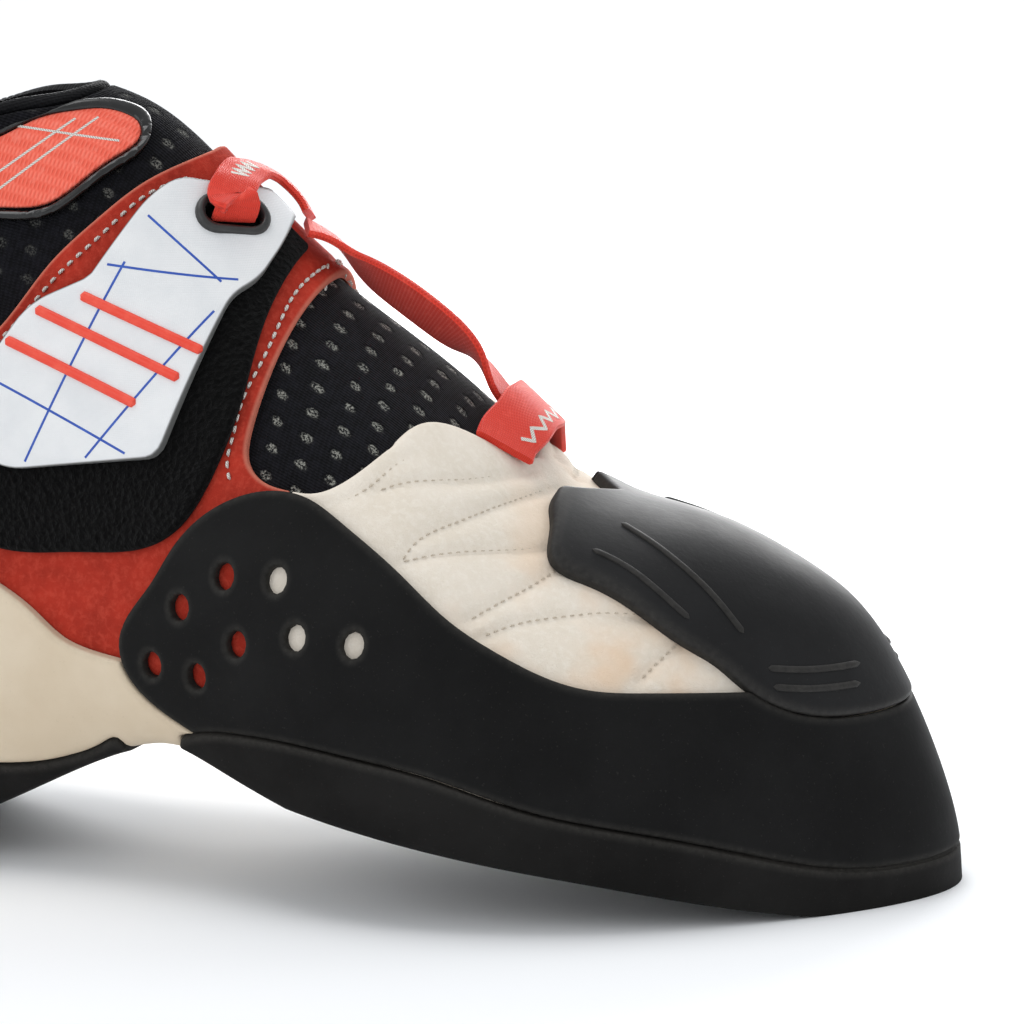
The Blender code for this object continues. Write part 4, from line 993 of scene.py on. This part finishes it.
def thread(name, base, dark):
    """Twisted sewing thread."""
    f = Finish(name, 0.6, Specular_IOR_Level=0.3, Sheen_Weight=0.2)
    x, y, _ = f.split(f.value("lay", True))
    twist = f.math("SINE", f.times(f.math("ADD", x, y), 2 * math.pi / 0.00045))
    f.colour(f.mix(f.range(twist, -1.0, 0.6), tone(dark), tone(base)))
    f.bump(twist, 0.00006, 0.7)
    return f.material


def gloss_plastic(name, base, light, roughness=0.3, gloss=0.4):
    """Moulded plastic or coated cord with faint handling marks."""
    f = Finish(name, roughness, Specular_IOR_Level=gloss)
    marks = f.noise(300.0, 4.0, 0.6)
    f.colour(f.mix(f.range(marks, 0.4, 0.75), tone(base), tone(light)))
    f.rough(f.range(marks, 0.3, 0.7, roughness - 0.06, roughness + 0.12))
    f.bump(f.noise(1400.0, 2.0), 0.00005, 0.3)
    return f.material


KNIT_ALONG = 0.0058        # pitch of the knit's dots along the foot and up the section
KNIT_UP = 0.0047
KNIT_DOT = (0.0024, 0.0018)
STAIN_FROM = 0.120         # where the vamp's faint stain starts and is full, along the foot
STAIN_FULL = 0.150

RED_SUEDE = suede("red_suede", "#B03324", "#962A1D", "#C44A39", 0.18, raw="#D08A74")
CREAM_SUEDE = suede("cream_suede", "#E4DBCE", "#DDD3C4", "#ECE5DA", 0.12, raw="#EFE6D8", stain="#DDB994")
BLACK_RUBBER = rubber("black_rubber", "#0A0A0A", "#101010", 0.64, gloss=0.14)
SOLE_RUBBER = rubber("sole_rubber", "#0E0D0C", "#171615", 0.70, grain=1300.0, gloss=0.14)
PATCH_RUBBER = rubber("patch_rubber", "#121213", "#1A1A1B", 0.50, gloss=0.16)
CREAM_RUBBER = rubber("cream_rubber", "#CDBCA3", "#D6C7B0", 0.46, dust="#8C7A63", gloss=0.30)
KNITTED = knit("knit", "#08080B", "#9A9A92")
WEBBING = woven("red_webbing", "#E2402F", "#CB3223", "#F0604F")
BINDING = woven("binding", "#0E0E11", "#060608", "#1C1C20", 0.0009, 0.0007, 0.12, 0.04)
BADGE_CLOTH = woven("badge_cloth", "#F37460", "#E45A45", "#F78B79", 0.0007, 0.0030)
WHITE_SHEET = sheet_plastic("white_sheet", "#DFE0E1", "#D6D8DA", 0.42)
PILE = fuzz("loop_pile", "#010101", "#050505")
WHITE_THREAD = thread("white_thread", "#E6E2DC", "#A9A39A")
CREAM_THREAD = thread("cream_thread", "#CFC3B1", "#B9AC98")
DARK_PLASTIC = gloss_plastic("dark_plastic", "#232323", "#333333", 0.32, 0.5)
CORD_BLACK = gloss_plastic("piping_black", "#0C0C0C", "#161617", 0.20, 0.5)
RED_PLASTIC = gloss_plastic("red_plastic", "#E2412C", "#EA5843", 0.35)
BLUE_PRINT = gloss_plastic("blue_print", "#2B4FA8", "#3C60B6", 0.45, 0.3)
FOOTBED = suede("footbed", "#8F8274", "#75695C", "#A2968A", 0.15)


def quarter_and_vamp():
    """The suede upper: a red quarter behind and a cream vamp before it, open at collar and throat."""
    sheet = EASED.part((EASED.v["level"][EASED.faces] >= -MARGIN_SHARE - 1e-6).all(1))
    spot = placed(sheet, WALL)
    side = spot[:, [0, 2]]
    throat = list(side_line(ARM_LINE)) + list(side_line(VAMP_LINE))[1:]
    front = at_x(SOCK_FRONT)
    top = OUT * INSTEP_HEIGHT
    throat += [(front, VAMP_LINE[-1][1] * INSTEP_HEIGHT * 0.82), (front, top), (throat[0][0], top)]
    middle = CREST[6][1] * BALL_WIDTH
    half = smooth_line(plan_points(THROAT_END))
    back = throat[0][0] - 0.05
    plan = [(back, -BALL_WIDTH), (half[0][0], -BALL_WIDTH)] + list(half)
    plan += [(x, 2 * middle - y) for x, y in reversed(half[:-1])]
    plan += [(half[0][0], BALL_WIDTH), (back, BALL_WIDTH)]
    opening = np.minimum(inside(side, np.array(throat)), inside(spot[:, :2], np.array(plan)))
    phi = np.minimum(-inside(side, above(side_line(QUARTER_LINE))), -opening)
    join = side_line(JOIN_LINE)
    far = at_x(BACK)
    behind = np.vstack([join, [(far, join[-1][1]), (far, top), (join[0][0], top)]])
    left = inside(side, behind)

    quarter = layer("quarter", sheet, np.minimum(phi, left), 0.0, WALL, 0.0007,
                    relief=quarter_relief)
    wear(quarter, "upper", RED_SUEDE)
    vamp = layer("vamp", sheet, np.minimum(phi, -left), 0.0, WALL, 0.0007,
                 relief=vamp_relief)
    wear(vamp, "upper", CREAM_SUEDE)


# Seams on the vamp as seen from the side, and the stitch lines of the quarter
QUILT_LINES = (
    ((0.647, 0.530), (0.659, 0.536), (0.686, 0.532), (0.709, 0.523), (0.738, 0.506)),
    ((0.672, 0.452), (0.677, 0.471), (0.696, 0.489), (0.714, 0.498), (0.741, 0.496)),
    ((0.672, 0.451), (0.688, 0.456), (0.710, 0.456), (0.731, 0.451), (0.750, 0.448)),
    ((0.720, 0.383), (0.734, 0.399), (0.746, 0.411), (0.759, 0.428)),
    ((0.730, 0.364), (0.744, 0.373), (0.774, 0.379), (0.788, 0.380), (0.806, 0.378), (0.822, 0.373)),
    ((0.827, 0.306), (0.837, 0.329), (0.845, 0.346)),
)
ARM_STITCH = ((0.562, 0.769), (0.557, 0.753), (0.554, 0.718), (0.550, 0.669), (0.544, 0.629), (0.542, 0.583),
              (0.541, 0.559), (0.548, 0.525))
QUARTER_STITCH = ((0.30, 0.610), (0.345, 0.655), (0.371, 0.700), (0.401, 0.768), (0.430, 0.822),
                  (0.453, 0.864), (0.476, 0.882))
VAMP_STITCH = ((0.597, 0.517), (0.626, 0.519), (0.644, 0.540), (0.652, 0.556), (0.661, 0.566))


def on_both_sides(line, offset):
    """A side view line laid on the outer and on the inner side."""
    return [skin_at(offset).from_side(side_line(line), hand) for hand in (-1, 1)]


def quarter_relief(sheet, out):
    lines = [points for line in (ARM_STITCH, QUARTER_STITCH) for points, _ in on_both_sides(line, WALL)]
    d = near_lines(out, lines)
    return -0.00028 * np.exp(-(d / 0.0009) ** 2)


def vamp_relief(sheet, out):
    lines = [points for line in QUILT_LINES for points, _ in on_both_sides(line, WALL)]
    d = near_lines(out, lines)
    edge = [points for points, _ in on_both_sides(VAMP_STITCH, WALL)]
    return (-0.00060 * np.exp(-(d / 0.0010) ** 2) + 0.00045 * (1 - np.exp(-(d / 0.0035) ** 2))
            - 0.0003 * np.exp(-(near_lines(out, edge) / 0.0009) ** 2))


def sock():
    """The knitted sock in the throat and at the collar, and its bound rim."""
    sheet = ON_SIDE
    rim, low = side_line(RIM_LINE), side_line(SOCK_LOW_LINE)
    front = at_x(SOCK_FRONT)
    top = OUT * INSTEP_HEIGHT
    ring = np.vstack([low, [(front, low[-1][1]), (front, top), (rim[-1][0], top)],
                      rim[::-1] - (0, BINDING_HEIGHT)])
    tongue = layer("sock", sheet, inside(seen(sheet, -GAP), ring),
                   -GAP - SOCK, -GAP, 0.0004)
    wear(tongue, "tongue", KNITTED)
    band = np.vstack([rim, rim[::-1] + (0, GAP - BINDING_HEIGHT)])
    binding = layer("rim_binding", sheet, inside(seen(sheet, 0.0), band),
                    -2 * GAP - SOCK, 0.0, 0.0010,
                    relief=lambda s, out: 0.00014 * np.sin(s.v["lay"][:, 0] * 2 * math.pi / 0.0011))
    wear(binding, "collar_binding", BINDING)


def hole_share(points, hand):
    """Distance outside the nearest of the rand's holes, on the outer side."""
    best = np.full(len(points), 1.0)
    for along, up in HOLES:
        x, _, z = real(along, 0.0, up)
        far = np.hypot((points[:, 0] - x) / 0.82, points[:, 1] - z) - HOLE_RADIUS
        best = np.minimum(best, far)
    return np.where(hand < 0, best, 1.0)


def rubber_wrap():
    """Rand with its holes, toe patch, outsole, light heel band and dark heel sole."""
    sheet = ON_SIDE
    seam = side_line(SEAM_LINE)
    rand_line, patch_line = side_line(RAND_LINE), side_line(PATCH_LINE)
    join = patch_line[patch_line[:, 0] > rand_line[-1][0]] - (0, GAP)
    top = np.vstack([rand_line, join])
    ring = np.vstack([top, (seam[seam[:, 0] > top[0][0] + 0.001] + (0, GAP))[::-1]])
    spot = seen(sheet, SKIN + RUBBER)
    phi = np.minimum(inside(spot, ring), hole_share(spot, sheet.v["hand"]))
    wear(layer("rand_rubber", sheet, phi, SKIN, SKIN + RUBBER, 0.0008),
         "rand", BLACK_RUBBER)

    whole = placed(sheet, SKIN + PATCH)
    phi = np.minimum(inside(whole[:, [0, 2]], above(patch_line)), -inside(whole[:, :2], plan_points(NOTCH)))
    wear(layer("toe_patch_rubber", sheet, phi, SKIN, SKIN + PATCH, 0.0008),
         "toe_patch", PATCH_RUBBER)
    patch_ridges()

    sole_back = at_x(SOLE_BACK)
    low = SURFACE.part(below(SURFACE, SOLE_RISE))
    sole_top = np.interp(sole_back, seam[:, 0], seam[:, 1])
    outline = under(np.vstack([[(sole_back, sole_top)], seam[seam[:, 0] > sole_back]]))
    phi = inside(sole_points(low)[:, [0, 2]], outline)
    wear(layer("outsole_rubber", low, phi, SKIN, sole_points, 0.0005), "outsole", SOLE_RUBBER)

    cream, heel_top = side_line(CREAM_LINE), side_line(HEEL_LINE)
    rear = rand_line[(rand_line[:, 1] <= CREAM_LINE[-1][1] * INSTEP_HEIGHT) &
                     (rand_line[:, 0] <= rand_line[0][0])]
    rear = rear[::-1] - (GAP, 0)
    edge = sole_back - GAP
    low = seam[(seam[:, 0] > sole_back) & (seam[:, 0] < rear[-1][0] - GAP)][::-1] + (0, GAP)
    ring = np.vstack([cream, rear, low, [(edge, sole_top + GAP), (edge, -0.01), (heel_top[-1][0], -0.01)],
                      heel_top[::-1] + (0, GAP)])
    band = lambda s: clamped(s, SKIN + RUBBER, CORNER)
    wear(layer("heel_band_rubber", EASED, inside(band(EASED)[:, [0, 2]], ring), SKIN, band, 0.0006),
         "heel_band", CREAM_RUBBER)

    low = EASED.part(below(EASED, SOLE_RISE))
    heel = lambda s: clamped(s, SKIN + HEEL_RUBBER, 0.0)
    phi = inside(heel(low)[:, [0, 2]], under(heel_top - (0, GAP)))
    wear(layer("heel_sole_rubber", low, phi, SKIN, heel, 0.0006), "heel_sole", SOLE_RUBBER)


def clamped(sheet, offset, least):
    """Points moved outward and flattened on a plane."""
    points = placed(sheet, offset)
    points[:, 2] = np.maximum(points[:, 2], least)
    return points


def sole_points(sheet):
    """Outside of the outsole: a lip on the side, a rounded corner and a flat bottom."""
    level, co, n = sheet.v["level"], sheet.v["co"], sheet.v["n"]
    share = np.clip((co[:, 0] / LENGTH + HEEL_SPOT - SOLE_BACK) / 0.09, 0, 1)
    deep = SKIN + SOLE_END + (SOLE - SOLE_END) * share
    out = SKIN + SOLE_LIP
    t = np.clip(1 - level / 0.09, 0, 1)
    side = co + n * (out * (1 - t))[:, None] + sheet.v["out"] * (out * t)[:, None]
    fore = np.clip((co[:, 0] / LENGTH + HEEL_SPOT - TOE_FROM) / (TOE_FULL - TOE_FROM), 0, 1)
    full = SOLE_EDGE + (1 - SOLE_EDGE) * fore
    side[:, 2] -= deep * full * t ** 1.6
    u = np.clip(-level / EDGE_SHARE, 0, 1)
    reach = np.interp(-level, (0, EDGE_SHARE, MARGIN_SHARE), (1, 0.55, 0))
    floor = co + sheet.v["out"] * (out * reach)[:, None]
    floor[:, 2] -= deep * (full + (1 - full) * np.sqrt(1 - (1 - u) ** 2))
    points = np.where((level >= 0)[:, None], side, floor)
    points[:, 2] = np.maximum(points[:, 2], 0)
    return points


RIDGE_WIDTH = 0.0012
RIDGE_HEIGHT = 0.00035
RIDGE_TAPER = 0.001
# Raised ridges moulded on the toe patch, seen from the side
PATCH_RIDGES = (
    ((0.785, 0.470), (0.810, 0.452), (0.838, 0.424), (0.862, 0.390), (0.882, 0.352)),
    ((0.778, 0.450), (0.800, 0.434), (0.825, 0.408), (0.850, 0.374)),
    ((0.905, 0.288), (0.925, 0.280), (0.948, 0.276)),
    ((0.900, 0.310), (0.922, 0.302), (0.945, 0.298)),
)


def patch_ridges():
    lines = [pair for line in PATCH_RIDGES for pair in on_both_sides(line, SKIN + PATCH)]
    profile = round_profile(RIDGE_WIDTH, RIDGE_HEIGHT)
    wear(bead("patch_ridges", lines, profile, taper=RIDGE_TAPER), None, PATCH_RUBBER)


def insole():
    sheet = EASED.part((EASED.v["level"][EASED.faces] <= 1e-6 - EDGE_SHARE).all(1))
    deep = lambda s: placed(s, np.interp(-s.v["level"], (MARGIN_SHARE, FILL_SHARE), (-GAP, WALL))[:, None])
    wear(layer("footbed", sheet, np.ones(len(sheet.v["co"])), -GAP - INSOLE, deep, 0.0002), "insole", FOOTBED)


def on_last(target, axes, k, s):
    """Point of the last nearest to a target on two axes, with its outward direction."""
    points = LAST.at(k[:, None], s[None, :])
    miss = ((points[..., axes] - target) ** 2).sum(-1)
    i, j = np.unravel_index(np.argmin(miss), miss.shape)
    step = 1e-3
    around = unit(LAST.at(k[i] + step, s[j]) - LAST.at(k[i] - step, s[j]))
    rise = LAST.at(k[i], s[j] + step / 2) - LAST.at(k[i], s[j] - step / 2)
    return points[i, j], unit(np.cross(around, rise))


def stadium(half_length, half_width, pieces=14):
    """Outline of a slot with round ends."""
    turns = [math.pi * (i / pieces - 0.5) for i in range(pieces + 1)]
    run = half_length - half_width
    right = [(run + half_width * math.cos(a), half_width * math.sin(a)) for a in turns]
    return np.array(right + [(-x, -y) for x, y in right])


def closure():
    """Loop pad on the quarter, white tab on the pad, and the ringed slot through the tab."""
    sheet = ON_SIDE
    step = SKIN + PAD
    whole = placed(sheet, step)
    phi = np.minimum(inside(whole[:, [0, 2]], smooth_ring(side_points(PAD_OUTLINE))), -whole[:, 1])
    wear(layer("loop_pad", sheet, phi, SKIN, step, 0.0008), "closure_pad", PILE)

    spot, out = on_last(side_points([EYELET_AT])[0], [0, 2], np.linspace(0, LAST.knots[TIP_ROW], 400)[1:-1],
                        np.linspace(0.2, 0.995, 160))
    spot = spot + out * (OVER_PAD + TAB / 2)
    along = np.array(EYELET_RUN)
    along = unit(along - out * (along @ out))
    across = np.cross(out, along)
    whole = placed(sheet, OVER_PAD + TAB)
    phi = np.minimum(inside(whole[:, [0, 2]], rounded(side_points(TAB_OUTLINE), TAB_CORNER)), -whole[:, 1])
    local = np.stack([(whole - spot) @ along, (whole - spot) @ across], 1)
    slot = inside(local, stadium(EYELET_LENGTH / 2 - EYELET_RIM * 0.6, EYELET_WIDTH / 2 - EYELET_RIM * 0.6))
    near = np.abs((whole - spot) @ out) < 0.006
    phi = np.where(near, np.minimum(phi, -slot), phi)
    wear(layer("tab", sheet, phi, OVER_PAD, OVER_PAD + TAB, 0.0004),
         "closure_tab", WHITE_SHEET)

    path = stadium(EYELET_LENGTH / 2 - EYELET_RIM / 2, EYELET_WIDTH / 2 - EYELET_RIM / 2)
    low, high = -TAB * 0.4, TAB / 2 + EYELET_RISE
    line = np.array([spot + along * a + across * b for a, b in path])
    turns = np.linspace(math.pi, 0, 10)
    profile = [(-EYELET_RIM / 2, low)]
    profile += [(EYELET_RIM / 2 * math.cos(a), high - EYELET_RISE + EYELET_RISE * math.sin(a)) for a in turns]
    profile += [(EYELET_RIM / 2, low)]
    ring = bead("eyelet_ring", [(line, np.tile(out, (len(line), 1)))], profile, closed=True)
    wear(ring, "tab_eyelet", DARK_PLASTIC)
    return spot, along, across, out


def tape_profile(half, thick, cells=14):
    """Cross-section of a webbing tape with firm, rounded edges."""
    t = np.linspace(-1, 1, cells)
    x = half * np.sign(t) * (1 - (1 - np.abs(t)) ** 1.5)
    swell = thick / 2 * (1 - np.abs(t) ** 8) + 0.00008 * np.exp(-((np.abs(t) - 0.86) / 0.06) ** 2)
    top = list(zip(x, swell))
    return top + [(a, -b) for a, b in reversed(top[1:-1])]


def tapes(slot):
    """The strap over the instep, its loop at the tab and its loop on the vamp."""
    strap = ribbon("strap", ribbon_rows(STRAP), TAPE_WIDTH, 90)
    wear(strap, "instep_strap", WEBBING)
    spot, along, across, out = slot
    yaw = math.atan2(along[1], along[0])
    start = [(*(spot + across * a + out * h), yaw, math.asin(along[2])) for a, h in LOOP_START]
    loop = ribbon("slot_loop", start + ribbon_rows(TAB_LOOP), SLOT_TAPE_WIDTH, 90)
    wear(loop, "tab_loop", WEBBING)
    rows = []
    for x, y, over in VAMP_LOOP:
        spot, out = on_last(real(x, y)[:2], [0, 1], np.linspace(0, LAST.knots[-1], 900)[1:-1],
                            np.linspace(0.55, 0.999, 120))
        rows.append((*(spot + out * over), 0.0, VAMP_LOOP_DIP))
    wear(ribbon("front_loop", rows, LOOP_WIDTH, 60), "vamp_loop", WEBBING)


def ribbon_rows(table):
    """Places in metres and angles in radians from a table of shares and degrees."""
    return [(*real(*row[:3]), math.radians(row[3]), math.radians(row[4])) for row in table]


def ribbon(name, rows, width, count):
    """Webbing tape along a line of places, each with the yaw and rise of the way across it."""
    rows = np.array(rows)
    knots = run_of(rows[:, :3])
    line = spline(knots, rows, np.linspace(0, knots[-1], count))
    run = unit(np.gradient(line[:, :3], axis=0))
    yaw, rise = line[:, 3], line[:, 4]
    lean = np.stack([np.cos(yaw) * np.cos(rise), np.sin(yaw) * np.cos(rise), np.sin(rise)], 1)
    widths = unit(lean - run * (lean * run).sum(1)[:, None])
    ups = np.cross(widths, run)
    TRACKS[name] = (line[:, :3], widths, ups)
    return bead(name, [(line[:, :3], ups)], tape_profile(width / 2, TAPE))


TRACKS = {}                # centre line, widths and ups of each tape, for the marks woven in it


def zigzag(name, start, end, shift, swing, turns):
    """A woven zigzag on a tape between two shares of its length."""
    number = np.arange(len(TRACKS[name][0]))
    at = np.linspace(start, end, turns * 12 + 1) * number[-1]
    line, widths, ups = (read(at, number, rows) for rows in TRACKS[name])
    phase = np.linspace(0, turns, len(at))
    side = shift + swing * (4 * np.abs(phase - np.floor(phase + 0.5)) - 1)
    return line + widths * side[:, None] + ups * TAPE / 2, unit(ups)


def badge():
    """Cloth badge on the sock's outer side, with a shiny raised edge."""
    sheet = ON_SIDE
    ring = smooth_ring(side_points(BADGE_OUTLINE))
    whole = placed(sheet, BADGE)
    phi = np.minimum(inside(whole[:, [0, 2]], ring), -whole[:, 1])
    wear(layer("badge", sheet, phi, 0.0, BADGE, 0.0003), "tongue_badge", BADGE_CLOTH)
    whole = placed(sheet, PIPING)
    far = inside(whole[:, [0, 2]], ring)
    phi = np.minimum(np.minimum(far + PIPING_REACH * INSTEP_HEIGHT, -GAP - far), -whole[:, 1])
    phi = np.minimum(phi, -inside(whole[:, [0, 2]], above(side_points(PIPING_ENDS))))
    wear(layer("piping", sheet, phi, 0.0, PIPING, 0.0008), "badge_piping", CORD_BLACK)


# Stitching: lines, depth under the suede's face, pitch, length, radius and thread
STITCHING = {
    "quarter_stitches": ((ARM_STITCH, QUARTER_STITCH), 0.0002, 0.0020, 0.0014, 0.00028, WHITE_THREAD),
    "quilt_stitches": (QUILT_LINES, 0.00055, 0.0015, 0.0010, 0.00012, CREAM_THREAD),
    "vamp_stitches": ((VAMP_STITCH,), 0.0002, 0.0015, 0.0010, 0.00014, CREAM_THREAD),
}


def sewing():
    """Stitch lines on the suede."""
    for name, (drawn, depth, pitch, length, radius, colour) in STITCHING.items():
        lines = [pair for line in drawn for pair in on_both_sides(line, WALL - depth)]
        wear(stitches(name, lines, pitch, length, radius), None, colour)


# Raised ribs and printed lines on the tab, and lines on the badge, as seen from the side
TAB_RIBS = (((0.372, 0.688), (0.474, 0.622)), ((0.392, 0.728), (0.503, 0.656)),
            ((0.424, 0.748), (0.516, 0.689)))
TAB_LINES = (((0.362, 0.640), (0.470, 0.562)), ((0.440, 0.552), (0.518, 0.735)),
             ((0.394, 0.540), (0.452, 0.790)), ((0.440, 0.786), (0.528, 0.770)),
             ((0.462, 0.845), (0.518, 0.768)))
BADGE_LINES = (((0.322, 0.850), (0.392, 0.950)), ((0.338, 0.849), (0.407, 0.952)),
               ((0.352, 0.940), (0.425, 0.925)))


def straight(lines, offset):
    """Straight side view lines laid on the outer side."""
    skin = skin_at(offset)
    return [skin.from_side(np.linspace(*side_points(line), 60)) for line in lines]


def markings():
    """Ribs and thin lines on tab and badge, and the marks woven in the tapes."""
    face = OVER_PAD + TAB
    ribs = bead("tab_ribs", straight(TAB_RIBS, face), round_profile(0.0017, 0.0006), taper=0.0006)
    wear(ribs, None, RED_PLASTIC)
    flat = flat_profile(0.0002, 0.0001, 0.00003)
    wear(bead("tab_lines", straight(TAB_LINES, face), flat), None, BLUE_PRINT)
    wear(bead("badge_lines", straight(BADGE_LINES, BADGE), flat), None, WHITE_THREAD)
    marks = [zigzag("slot_loop", 0.30, 0.52, 0.0, 0.0014, 4),
             zigzag("front_loop", 0.10, 0.75, 0.0028, 0.0010, 6)]
    wear(bead("woven_marks", marks, flat_profile(0.00035, 0.0002, 0.00004)), None, WHITE_THREAD)


# The camera's place in metres, its turn round the shoe and its height in degrees, and its lens in mm
CAMERA_AT = (0.5952, -1.2840, 0.3511)
CAMERA_TURN = (20.0, 12.0)
CAMERA_LENS = 297.8
FLOOR_TONE = (0.925, 0.935, 0.95)
SKY_TONE = (0.96, 0.98, 1.0, 1)
SUN_ENERGY = 0.85
SUN_FROM = (-0.6, 0.0, 1.9)
# Name, place, size in metres and power in watts of each round lamp
LAMPS = (
    ("rim", (0.9, 1.1, 1.3), 0.8, 2.0),
    ("fill", (-0.9, -1.4, 0.9), 1.2, 5.0),
    ("under", (0.03, 0.45, 0.22), 0.4, 2.6),
)


def hang(data, place):
    """A light at a place, aimed at the shoe."""
    light = bpy.data.objects.new(data.name, data)
    light.location = place
    light.rotation_euler = (Vector((0.08, 0, 0.05)) - Vector(place)).to_track_quat("-Z", "Y").to_euler()
    bpy.context.scene.collection.objects.link(light)


def studio():
    """Pale floor, soft lights and the camera."""
    floor = bpy.data.meshes.new("floor")
    size = 6.0
    corners = [(-size, -size, 0), (size, -size, 0), (size, size, 0), (-size, size, 0)]
    floor.from_pydata(corners, [], [(0, 1, 2, 3)])
    ground = bpy.data.objects.new("floor", floor)
    bpy.context.scene.collection.objects.link(ground)
    f = Finish("floor", 0.9, Specular_IOR_Level=0.0)
    f.colour(FLOOR_TONE)
    floor.materials.append(f.material)

    world = bpy.data.worlds.new("studio")
    world.use_nodes = True
    sky = world.node_tree.nodes["Background"].inputs
    sky[0].default_value = SKY_TONE
    sky[1].default_value = 0.80
    bpy.context.scene.world = world
    for name, place, size, power in LAMPS:
        data = bpy.data.lights.new(name, "AREA")
        data.shape = "DISK"
        data.size = size
        data.energy = power
        hang(data, place)
    data = bpy.data.lights.new("key", "SUN")
    data.energy = SUN_ENERGY
    data.angle = math.radians(35)
    hang(data, SUN_FROM)

    azimuth, elevation = (math.radians(degrees) for degrees in CAMERA_TURN)
    back = Vector((math.sin(azimuth) * math.cos(elevation), -math.cos(azimuth) * math.cos(elevation),
                   math.sin(elevation)))
    right = Vector((math.cos(azimuth), math.sin(azimuth), 0))
    rise = back.cross(right)
    data = bpy.data.cameras.new("camera")
    data.sensor_width = 36.0
    data.lens = CAMERA_LENS
    data.clip_end = 50.0
    camera = bpy.data.objects.new("camera", data)
    camera.location = CAMERA_AT
    camera.rotation_euler = Matrix((right, rise, back)).transposed().to_euler()
    bpy.context.scene.collection.objects.link(camera)
    bpy.context.scene.camera = camera
    bpy.context.scene.view_settings.view_transform = "Standard"


quarter_and_vamp()
sock()
rubber_wrap()
insole()
SLOT = closure()
tapes(SLOT)
badge()
sewing()
markings()
studio()

bpy.context.view_layer.update()
